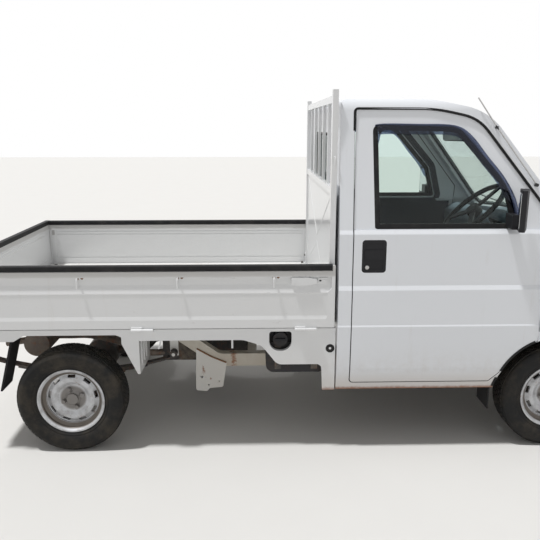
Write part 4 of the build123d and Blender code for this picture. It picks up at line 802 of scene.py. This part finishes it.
# Screen seals: round black rubber beads pressed between the windscreen or rear window and the cab.
# Outline corners are measured across and up the screen from its foot.
SCREEN_FOOT = Vector((1.392, 0, 1.085))
SCREEN_HEAD = Vector((0.892, 0, 1.690))
SCREEN = ((-0.648, 0.048, 0.060), (0.648, 0.048, 0.060), (0.572, 0.700, 0.050), (-0.572, 0.700, 0.050))
REAR_WINDOW = ((-0.430, 1.190, 0.040), (0.430, 1.190, 0.040), (0.410, 1.560, 0.040), (-0.410, 1.560, 0.040))
SEAL_WIDTH = 0.020
SEAL_TUCK = 0.004
seal = [(SEAL_WIDTH / 2 * cos(pi * step / 4), 0.012 * sin(pi * step / 4)) for step in range(8)]
screen_up = (SCREEN_HEAD - SCREEN_FOOT).normalized()
screen_out = Vector((screen_up.z, 0, -screen_up.x))
path = [SCREEN_FOOT + Vector((0, y, 0)) + screen_up * up for y, up in outline(SCREEN, SEAL_TUCK)]
path = laid(surface("cab_glass"), path, -screen_out, 0.006)
trim("windscreen_seal", path, screen_out, seal, rubber)
path = [Vector((0, y, z)) for y, z in outline(REAR_WINDOW, SEAL_TUCK)]
path = laid(surface("cab_glass"), path, (1, 0, 0), 0.006)
trim("rear_window_seal", path, (-1, 0, 0), seal, rubber)

# Bolts: hexagon heads with a pressed washer, set by a tree on points that carry the direction
# each one faces. They hold brackets, plates, flaps and hinges all round the truck.
bolts = Pattern("hexagon_bolts", Across="Float", Height="Float", Material="Material")
facing = bolts.add("GeometryNodeInputNamedAttribute", {"data_type": "FLOAT_VECTOR"}, {"Name": "facing"})
bolt_turn = bolts.add("FunctionNodeAlignRotationToVector", {"axis": "Z"}, {"Vector": facing})
across, rise = bolts.input("Across"), bolts.input("Height")
head = bolts.add("GeometryNodeMeshCylinder", {"fill_type": "NGON"},
                 {"Vertices": 6, "Radius": across * 0.577, "Depth": rise})
lifted = bolts.add("ShaderNodeCombineXYZ", {}, {"Z": rise * 0.75})
head = bolts.add("GeometryNodeTransform", {}, {"Geometry": head, "Translation": lifted})
washer = bolts.add("GeometryNodeMeshCylinder", {"fill_type": "NGON"},
                   {"Vertices": 14, "Radius": across * 0.95, "Depth": rise * 0.5})
pair = bolts.add("GeometryNodeJoinGeometry", {}, {"Geometry": head})
bolts.join(washer, pair.output.node.inputs["Geometry"])
bolts.end(bolts.add("GeometryNodeInstanceOnPoints", {}, {"Points": bolts.input("Geometry"), "Instance": pair,
                                                         "Rotation": bolt_turn}))


def bolted(name, places, finish, body="chassis", size=0.010, height=0.005):
    """Bolt heads at places, each a point and the direction that it faces."""
    mesh = bpy.data.meshes.new(name)
    mesh.from_pydata([point for point, way in places], [], [])
    ways = mesh.attributes.new("facing", "FLOAT_VECTOR", "POINT")
    ways.data.foreach_set("vector", [value for point, way in places for value in way])
    return bolts.make(name, mesh, body, Across=size, Height=height, Material=finish.material)


def bar(name, points, radius, finish, body="chassis", parts=1, sides=8):
    """A round bar, closed at both ends, that follows a line of points, rounded if it has more parts."""
    line = smooth_line(points, parts)
    turns = [2 * pi * step / sides for step in range(sides)]
    rings, out = [], Vector((0.31, 0.91, 0.27))
    for number, point in enumerate(line):
        along = (line[min(number + 1, len(line) - 1)] - line[max(number - 1, 0)]).normalized()
        out = (out - along * out.dot(along)).normalized()
        beside = along.cross(out)
        rings.append([point + (out * cos(turn) + beside * sin(turn)) * radius for turn in turns])
    return swept(name, rings, finish, body)


def along_x(a, b, depth):
    return Vector((depth, a, b))


def along_y(a, b, depth):
    return Vector((a, depth, b))


def plate(name, corners, start, end, finish, body="chassis", bevel=0.0, put=along_y):
    """An outline, corners (a, b, rounding), pulled from start to end; put gives the place of a point."""
    rings = [[put(point.x, point.y, depth) for point in rounded(corners)] for depth in (start, end)]
    return swept(name, rings, finish, body, bevel)


def oblong(a, b, width, height, radius):
    """Corners of a rounded rectangle about a middle."""
    return [(a + x * width / 2, b + y * height / 2, radius) for x, y in ((-1, -1), (1, -1), (1, 1), (-1, 1))]


# Rope hooks: steel rod bent down and sprayed with the bed, three on the face of each side gate and
# two short ones under each skirt, for the sheet's ropes.
HOOK_ROD = 0.0042
SKIRT_HOOK_ROD = 0.0050
GATE_HOOKS = (-1.066, -0.597, -0.141)
# Each gate hook's two washers: how far ahead of it, z
HOOK_WASHERS = ((0.0, 0.898), (0.020, 0.899))
WASHER_Y = 0.7098
GATE_HOOK_BEND = ((0.706, 0.898), (0.724, 0.899), (0.7305, 0.893), (0.7315, 0.875), (0.7310, 0.853))
SKIRT_HOOKS = ((-0.690, -0.008), (-0.344, 0.0))
SKIRT_HOOK_BEND = ((0.0, 0.700, 0.598), (0.0, 0.7005, 0.584), (0.6, 0.702, 0.565), (1.6, 0.704, 0.542))
weld_rust = worn_iron("rusty_weld", (0.22, 0.11, 0.055), 0.8)
for side, sign in SIDES:
    rims = []
    for number, x in enumerate(GATE_HOOKS):
        bend = [(x, sign * y, z) for y, z in GATE_HOOK_BEND]
        bar(f"gate_{side}_rope_hook_{number + 1}", bend, HOOK_ROD, gate_paint, f"gate_{side}", 3)
        rims += [((x + ahead, sign * WASHER_Y, z), (0, sign, 0)) for ahead, z in HOOK_WASHERS]
    bolted(f"gate_{side}_hook_washers", rims, weld_rust, f"gate_{side}", 0.007, 0.0016)
    for number, (x, lean) in enumerate(SKIRT_HOOKS):
        bend = [(x + lean * share, sign * y, z) for share, y, z in SKIRT_HOOK_BEND]
        bar(f"skirt_rope_hook_{side}_{number + 1}", bend, SKIRT_HOOK_ROD, bed_paint, parts=3)

# Gate latches: a lever pinned at its rear end and a keeper with two screws, one at the front of each
# side gate, and a pair of the same levers at the ends of the tailgate.
# The keeper's slot is drawn as a thin black sheet: painted shade for the dark hole.
LATCH_HOLE_SHADE = oblong(0.0785, 0.8825, 0.011, 0.007, 0.002)
TAIL_LEVER = ((0.560, 0.862, 0.008), (0.560, 0.899, 0.008), (0.640, 0.899, 0.006), (0.680, 0.889, 0.004),
              (0.680, 0.872, 0.004), (0.644, 0.862, 0.006))
for side, sign in SIDES:
    gate = f"gate_{side}"
    keeper = [((x, sign * 0.7178, 0.8825), (0, sign, 0)) for x in (0.094, 0.106)]
    bolted(f"{gate}_keeper_screws", keeper, gate_paint, gate, 0.006, 0.003)
    pin = [((-0.046, sign * 0.7298, 0.8805), (0, sign, 0))]
    bolted(f"{gate}_latch_pin", pin, gate_paint, gate, 0.009, 0.003)
    # A thin black sheet in the keeper's slot, painted shade for the hole.
    plate(f"{gate}_latch_hole_shade", LATCH_HOLE_SHADE, sign * 0.716, sign * 0.7186, rubber, gate)
    lever = [(sign * y, z, r) for y, z, r in TAIL_LEVER]
    plate(f"tailgate_latch_{side}", lever, -1.6905, -1.664, gate_paint, "tailgate", 0.0015, along_x)
    pin = [((-1.6905, sign * 0.575, 0.8805), (-1, 0, 0))]
    bolted(f"tailgate_latch_pin_{side}", pin, iron, "tailgate", 0.009, 0.003)

# Bed corners: the tailgate's beads pressed towards the load, a capped strip down the rear end of each
# side gate with its small catch, and rubber plugs in the floor's drain holes.
GATE_BEAD = ((-0.006, -0.001), (-0.002, 0.0028), (0.002, 0.0028), (0.006, -0.001))
END_STRIP = oblong(-1.626, 0.7905, 0.028, 0.229, 0.003)
END_CATCH = oblong(-1.626, 0.880, 0.016, 0.036, 0.003)
DRAIN_PLUG = ((0.002, 0.0012), (0.0105, 0.0012), (0.0120, -0.002))
tail_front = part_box("tailgate")[1].x
for number, z in enumerate((0.893, 0.872, 0.702)):
    path = [Vector((tail_front, y, z)) for y in (-0.600, 0.600)]
    trim(f"tailgate_bead_{number + 1}", path, (1, 0, 0), GATE_BEAD, gate_paint, "tailgate", closed=False)
for side, sign in SIDES:
    gate = f"gate_{side}"
    plate(f"{gate}_end_strip", END_STRIP, sign * 0.6945, sign * 0.6890, gate_paint, gate, 0.0012)
    plate(f"{gate}_end_catch", END_CATCH, sign * 0.6895, sign * 0.6835, plated, gate, 0.0015)
    for number, x in enumerate((-1.615, 0.100)):
        turned(f"drain_plug_{side}_{number + 1}", DRAIN_PLUG, (x, sign * 0.655, 0.6602), (0, 0, 1), rubber,
               steps=20)

# Frame seams: the weld beads that join the stamped plates to the side rails, steel that was never
# painted well and is rusty now.
SEAM = ((-0.549, 0.4265), (-0.516, 0.4070), (-0.480, 0.3855), (-0.448, 0.3700), (-0.390, 0.3455))
for side, sign in SIDES:
    bar(f"plate_weld_{side}", [(x, sign * 0.4005, z) for x, z in SEAM], 0.0042, weld_rust, parts=4)

# Side panel fittings: a black rubber plug in a hole near the cab on the right, and the filler cap's
# grip in its black cup.
PLUG = ((0.004, -0.006), (0.004, -0.0008), (0.009, 0.0012), (0.017, 0.0018), (0.0215, 0.0008),
        (0.0225, -0.003), (0.0225, -0.008))
turned("side_panel_plug", PLUG, (0.133, -0.7120, 0.5395), (0, -1, 0), rubber)
GRIP = oblong(-0.1095, 0.580, 0.050, 0.013, 0.003)
plate("filler_cap_grip", GRIP, -0.690, -0.7025, black_plastic, bevel=0.0025)

# Door locks: a plated steel cylinder below the lever of each door handle, pushed through its black
# plate and clipped inside the skin.
LOCK = ((0.0008, 0.0042), (0.0050, 0.0045), (0.0092, 0.0036), (0.0104, 0.0010), (0.0104, -0.004))
for side, sign in SIDES:
    turned(f"door_{side}_lock", LOCK, (0.2975, sign * 0.7232, 0.9465), (0, sign, 0), plated, f"door_{side}")

# Guard frame: hooks of bent rod on the two posts, a foot angle bolted to the sill at each post, and
# shallow creases pressed across its panel to stiffen it.
GUARD_HOOK_BEND = ((0.680, 1.458), (0.694, 1.456), (0.697, 1.440), (0.696, 1.420), (0.688, 1.412))
GUARD_FOOT = ((0.086, 0.6602, 0), (0.086, 0.6640, 0), (0.1205, 0.6640, 0.002), (0.1205, 0.735, 0.004),
              (0.1238, 0.735, 0), (0.1238, 0.6602, 0))
CREASE = ((-0.009, 0.0), (-0.004, 0.0022), (0.004, 0.0022), (0.009, 0.0), (0.009, -0.003), (-0.009, -0.003))
# Both ends of each crease: y, z, y, z
CREASES = ((-0.600, 1.270, 0.0, 0.980), (0.0, 0.980, 0.600, 1.270), (-0.600, 0.690, 0.0, 0.940),
           (0.0, 0.940, 0.600, 0.690))
PANEL_REAR_X = 0.133
for side, sign in SIDES:
    bend = [(0.139, sign * y, z) for y, z in GUARD_HOOK_BEND]
    bar(f"guard_post_hook_{side}", bend, HOOK_ROD, bed_paint, parts=3)
    plate(f"guard_foot_{side}", GUARD_FOOT, sign * 0.640, sign * 0.682, bed_paint, bevel=0.0008)
    feet = [((0.101, sign * y, 0.6640), (0, 0, 1)) for y in (0.650, 0.672)]
    bolted(f"guard_foot_bolts_{side}", feet + [((0.1205, sign * 0.661, 0.718), (-1, 0, 0))], iron)
for number, (foot_y, foot_z, head_y, head_z) in enumerate(CREASES):
    path = [Vector((PANEL_REAR_X, foot_y, foot_z)), Vector((PANEL_REAR_X, head_y, head_z))]
    trim(f"guard_panel_crease_{number + 1}", path, (-1, 0, 0), CREASE, bed_paint, closed=False)

# Bed floor ribs: flat swages pressed up in the steel along the floor so that loads slide on it,
# stopping short of its ends.
RIB = ((-0.016, -0.001), (-0.011, 0.0022), (0.011, 0.0022), (0.016, -0.001))
RIB_PITCH = 0.148
for number in range(9):
    path = [Vector((x, (number - 4) * RIB_PITCH, 0.660)) for x in (-1.585, 0.080)]
    trim(f"bed_floor_rib_{number + 1}", path, (0, 0, 1), RIB, bed_floor_paint, closed=False)

# Number plate: a blank of painted aluminium with nothing on it, fixed flat against the tail sill in
# the middle.
SILL_FACE_X = -1.6615
plate_paint = Finish("bare_plate_paint", Roughness=0.35, Coat_Weight=0.4)
plate_grime = plate_paint.patches(9.0, 0.45, 0.75, 6.0, 0.55)
plate_paint.colour(plate_grime * 0.3, (0.72, 0.73, 0.72), DIRT).bump(plate_grime, 0.1)
blank = oblong(0.0, 0.5195, 0.330, 0.165, 0.010)
plate("rear_number_plate", blank, SILL_FACE_X - 0.0008, SILL_FACE_X + 0.0006, plate_paint, put=along_x)

# Flap fixings: steel screws, three to a flap, that go through the rubber into the brackets behind.
# Rows: axle, x, z, and how far out each screw is.
FLAP_SCREWS = (("front", 0.9358, 0.312, (0.585, 0.630, 0.675)),
               ("rear", -1.4105, 0.612, (0.585, 0.625, 0.665)))
for side, sign in SIDES:
    for axle, x, z, places in FLAP_SCREWS:
        screws = [((x, sign * y, z), (-1, 0, 0)) for y in places]
        bolted(f"{axle}_flap_screws_{side}", screws, iron, size=0.009, height=0.003)

# Cab linings: door cards below the belt and strips round the window frames in moulded plastic, made
# near black as painted shade, and a cloth headliner, each clipped inside the panel that it follows.
CARD_ROWS = 16
CARD_COLUMNS = 18
CARD_REAR, CARD_FRONT, CARD_FOOT, CARD_HEAD = 0.262, 1.108, 0.405, 1.098
ARCH_CLEAR = 0.372
LINING_GAP = 0.0012
FRAME_STRIP = ((-0.020, 0.0005), (-0.018, 0.005), (0.018, 0.005), (0.020, 0.0005))
# The door cards and frame strips are near black: moulded plastic, and painted shade for the dim cab.
cab_shade_lining = moulded_plastic("dark_lining_plastic", (0.028, 0.032, 0.042), 520.0, 0.6)
headliner_cloth = moulded_plastic("grey_headliner_cloth", (0.30, 0.31, 0.32), 900.0, 0.9)


def lining(name, rows, towards, under, finish, body, thickness):
    """A sheet laid against the inside of a panel: rows of points are moved until they meet it."""
    tree = surface(under)
    rings = [laid(tree, row, towards, LINING_GAP) + laid(tree, row, towards, LINING_GAP + thickness)[::-1]
             for row in rows]
    return swept(name, rings, finish, body)


for side, sign in SIDES:
    door = f"door_{side}"
    rows = []
    for row in range(CARD_ROWS + 1):
        z = CARD_FOOT + (CARD_HEAD - CARD_FOOT) * row / CARD_ROWS
        clear = ARCH_CLEAR ** 2 - (z - ARCH_CENTRE.z) ** 2
        front = min(CARD_FRONT, ARCH_CENTRE.x - clear ** 0.5) if clear > 0 else CARD_FRONT
        rows.append([Vector((CARD_REAR + (front - CARD_REAR) * c / CARD_COLUMNS, 0, z))
                     for c in range(CARD_COLUMNS + 1)])
    lining(f"{door}_card", rows, (0, sign, 0), f"{door}_shell", cab_shade_lining, door, 0.005)
    ring = on_side(-sign, outline(WINDOW, -0.026), f"{door}_shell")
    trim(f"{door}_frame_lining", ring, (0, -sign, 0), FRAME_STRIP, cab_shade_lining, door)
rows = [[Vector((0.235 + 0.045 * c, 0.055 * r - 0.55, 0)) for c in range(14)] for r in range(21)]
lining("headliner", rows, (0, 0, 1), "roof", headliner_cloth, "chassis", 0.006)

# Mirrors: silvered glass let into the back of each door mirror, and the inside mirror hung from the
# windscreen's head, turned to the driver on the right.
silver = Finish("mirror_silver", Metallic=1.0)
haze = silver.noise(5.0, 3.0)
silver.colour(haze, (0.80, 0.82, 0.83), (0.72, 0.74, 0.75)).set(Roughness=haze * 0.03 + 0.02)


def slab(name, corners, origin, along, up, depth, finish, body="chassis", bevel=0.0):
    """A plate anywhere: an outline of (along, up, rounding) about an origin, its depth behind its face."""
    along, up = Vector(along).normalized(), Vector(up)
    up = (up - along * up.dot(along)).normalized()
    out = along.cross(up)

    def put(a, b, behind):
        return Vector(origin) + along * a + up * b - out * behind

    return plate(name, corners, 0.0, depth, finish, body, bevel, put)


for side, sign in SIDES:
    face = Vector((0.0350, -sign * 0.108, 0)) * sign
    slab(f"door_{side}_mirror_glass", oblong(0, 0, 0.094, 0.160, 0.014), (0.9662, sign * 0.7955, 1.225),
         face, (0, 0, 1), 0.003, silver, f"door_{side}", 0.0006)
MIRROR_TURN = radians(19)
glance = Vector((-cos(MIRROR_TURN), -sin(MIRROR_TURN), -0.05)).normalized()
level = Vector((0, 0, 1)).cross(glance)
hang = Vector((0.905, 0.0, 1.545))
slab("inside_mirror_glass", oblong(0, 0, 0.205, 0.052, 0.016), hang + glance * 0.0012, level, (0, 0, 1),
     0.002, silver)
slab("inside_mirror_shell", oblong(0, 0, 0.216, 0.063, 0.020), hang, level, (0, 0, 1), 0.018, black_plastic,
     bevel=0.004)
stem = [hang - glance * 0.014, (0.928, 0.0, 1.575), (0.925, 0.0, 1.625), (0.918, 0.0, 1.640)]
bar("inside_mirror_stem", stem, 0.006, black_plastic, parts=4)

# Cabin fittings: sun visors, instrument hood and column stalks in plastic, gear lever and handbrake
# on the floor, all fixed.
COLUMN_Y = -0.330
HOOD = ((1.080, 1.030, 0.008), (1.066, 1.112, 0.020), (1.098, 1.158, 0.030), (1.190, 1.160, 0.040),
        (1.285, 1.060, 0.020))
KNOB = ((0.002, 0.030), (0.012, 0.028), (0.021, 0.016), (0.023, 0.002), (0.017, -0.014), (0.010, -0.022),
        (0.004, -0.023))
BOOT = ((0.010, 0.070), (0.014, 0.062), (0.018, 0.045), (0.030, 0.026), (0.034, 0.020), (0.050, 0.006),
        (0.056, -0.002))
for side, sign in SIDES:
    slab(f"sun_visor_{side}", oblong(0, 0, 0.360, 0.135, 0.030), (0.775, sign * 0.310, 1.6235), (0, 1, 0),
         (1, 0, -0.20), 0.014, headliner_cloth, bevel=0.004)
    stalk = [(x, COLUMN_Y + sign * out, z) for x, out, z in ((0.990, 0.024, 1.096), (0.982, 0.110, 1.108),
                                                            (0.968, 0.185, 1.122))]
    bar(f"column_stalk_{side}", stalk, 0.0055, black_plastic, parts=4)
plate("instrument_hood", HOOD, -0.490, -0.170, dash_plastic, bevel=0.006)
slab("instrument_glass", oblong(0, 0, 0.280, 0.058, 0.012), (1.0705, COLUMN_Y, 1.076), (0, -1, 0),
     (-0.17, 0, 1), 0.004, black_plastic, bevel=0.001)
lever = [(0.900, -0.020, 0.424), (0.895, -0.022, 0.560), (0.862, -0.026, 0.690), (0.842, -0.028, 0.742)]
bar("gear_lever", lever, 0.0065, plated, parts=5, sides=10)
turned("gear_knob", KNOB, (0.838, -0.028, 0.756), (-0.25, 0, 1), black_plastic)
turned("gear_boot", BOOT, (0.900, -0.020, 0.428), (0, 0, 1), rubber)
lever = [(0.790, 0.005, 0.602), (0.745, 0.005, 0.640), (0.640, 0.005, 0.668), (0.560, 0.005, 0.684)]
bar("handbrake", lever, 0.011, black_plastic, parts=4, sides=10)

# Underbody runs: the steel tube of the propeller shaft, the exhaust pipe bent over the axle, and the
# two iron straps that hold the tank up.
shaft = [(-0.762, 0.0, 0.372), (-0.800, 0.0, 0.365), (-1.030, 0.0, 0.288), (-1.056, 0.0, 0.276)]
bar("propeller_shaft", shaft, 0.030, iron, sides=20)
pipe = [(-0.735, -0.190, 0.330), (-0.860, -0.235, 0.350), (-1.000, -0.262, 0.425), (-1.147, -0.265, 0.462),
        (-1.260, -0.262, 0.462), (-1.345, -0.260, 0.462)]
bar("exhaust_pipe", pipe, 0.019, muffler_steel, parts=6, sides=14)
STRAP = ((-0.0012, -0.016), (0.0012, -0.016), (0.0012, 0.016), (-0.0012, 0.016))
STRAP_LOOP = ((-0.402, 0.5615), (-0.640, 0.5615), (-0.6665, 0.5560), (-0.6715, 0.530), (-0.6715, 0.430),
              (-0.6665, 0.4040), (-0.640, 0.3985), (-0.402, 0.3985))
for number, x in enumerate((-0.120, 0.060)):
    loop = [Vector((x, y, z)) for y, z in STRAP_LOOP]
    trim(f"tank_strap_{number + 1}", loop, (1, 0, 0), STRAP, iron, closed=False)

# Seats: foam cushions and backs in dark woven cloth, crowned by the foam, piped along their edges.
# Each is a soft solid of the CAD, stuffed here by a pressure simulation.
SEAT_Y = 0.335
SEAT_VOXEL = 0.008
SEAT_SHRINK = 0.010
SEAT_BEVEL = 0.018
SEAT_PRESSURE = 4.0
SEAT_CAP = 0.012
SEAT_FRAMES = 20
# Sections, corners (x, z, rounding)
CUSHION = ((0.330, 0.602, 0.010), (0.324, 0.700, 0.040), (0.788, 0.732, 0.045), (0.813, 0.602, 0.020))
SEAT_BACK = ((0.204, 0.710, 0.020), (0.204, 1.322, 0.040), (0.280, 1.322, 0.040), (0.312, 1.050, 0.100),
             (0.396, 0.745, 0.030), (0.390, 0.712, 0.020))
seat_cloth = Finish("dark_seat_cloth", Roughness=0.9, Sheen_Weight=0.25)
weave = seat_cloth.wave("X", 300.0, 0.6) * seat_cloth.wave("Y", 300.0, 0.6)
seat_cloth.colour(weave, (0.030, 0.034, 0.042), (0.085, 0.092, 0.108)).bump(weave, 0.5, 0.0006)
seat_cloth.over(seat_cloth.patches(260.0, 0.5, 0.7, 3.0, 0.55) * 0.35, (0.16, 0.17, 0.19))


def stuffed(name, section, half_width, held):
    """A cushion: the section pulled across, remeshed, blown up by a cloth simulation, then smoothed.
    held(point) tells which points rest on something and stay."""
    reach = half_width - SEAT_SHRINK
    ring = rounded(inset(section, SEAT_SHRINK), 5)
    ends = [[along_y(a, b, y) for a, b in ring] for y in (-reach, reach)]
    form = swept(name, ends, seat_cloth, bevel=SEAT_BEVEL)
    remesh = form.modifiers.new("voxels", "REMESH")
    remesh.mode = "VOXEL"
    remesh.voxel_size = SEAT_VOXEL
    mesh = applied(form)
    rest = [v.co.copy() for v in mesh.vertices]
    group = form.vertex_groups.new(name="held")
    group.add([v.index for v in mesh.vertices if held(v.co)], 1.0, "REPLACE")
    cloth = form.modifiers.new("foam", "CLOTH")
    cloth.settings.vertex_group_mass = group.name
    cloth.settings.use_pressure = True
    cloth.settings.uniform_pressure_force = SEAT_PRESSURE
    cloth.settings.effector_weights.gravity = 0.0
    cloth.point_cache.frame_start = 1
    cloth.point_cache.frame_end = SEAT_FRAMES
    for number in range(1, SEAT_FRAMES + 1):
        bpy.context.scene.frame_set(number)
    blown = form.evaluated_get(bpy.context.evaluated_depsgraph_get()).to_mesh()
    for vertex, start in zip(mesh.vertices, rest):
        moved = blown.vertices[vertex.index].co - start
        vertex.co = start + moved * (SEAT_CAP / max(moved.length, SEAT_CAP))
    form.evaluated_get(bpy.context.evaluated_depsgraph_get()).to_mesh_clear()
    form.modifiers.clear()
    form.vertex_groups.clear()
    bpy.context.scene.frame_set(1)
    subdivision = form.modifiers.new("smooth", "SUBSURF")
    subdivision.levels = subdivision.render_levels = 1
    mesh = applied(form)
    mesh.polygons.foreach_set("use_smooth", [True] * len(mesh.polygons))
    return form


cushion = stuffed("seat_cushion_middle", CUSHION, 0.250, lambda p: p.z < 0.625)
backrest = stuffed("seat_back_middle", SEAT_BACK, 0.240, lambda p: p.x < 0.225)
for side, sign in SIDES:
    for source, label in ((cushion, "cushion"), (backrest, "back")):
        pad = placed(f"seat_{label}_{side}", source.data.copy())
        pad.data.transform(Matrix.Translation((0, sign * SEAT_Y, 0)))
        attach(pad, "chassis")
        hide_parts("seats")
for spare in (cushion, backrest):
    bpy.data.objects.remove(spare)
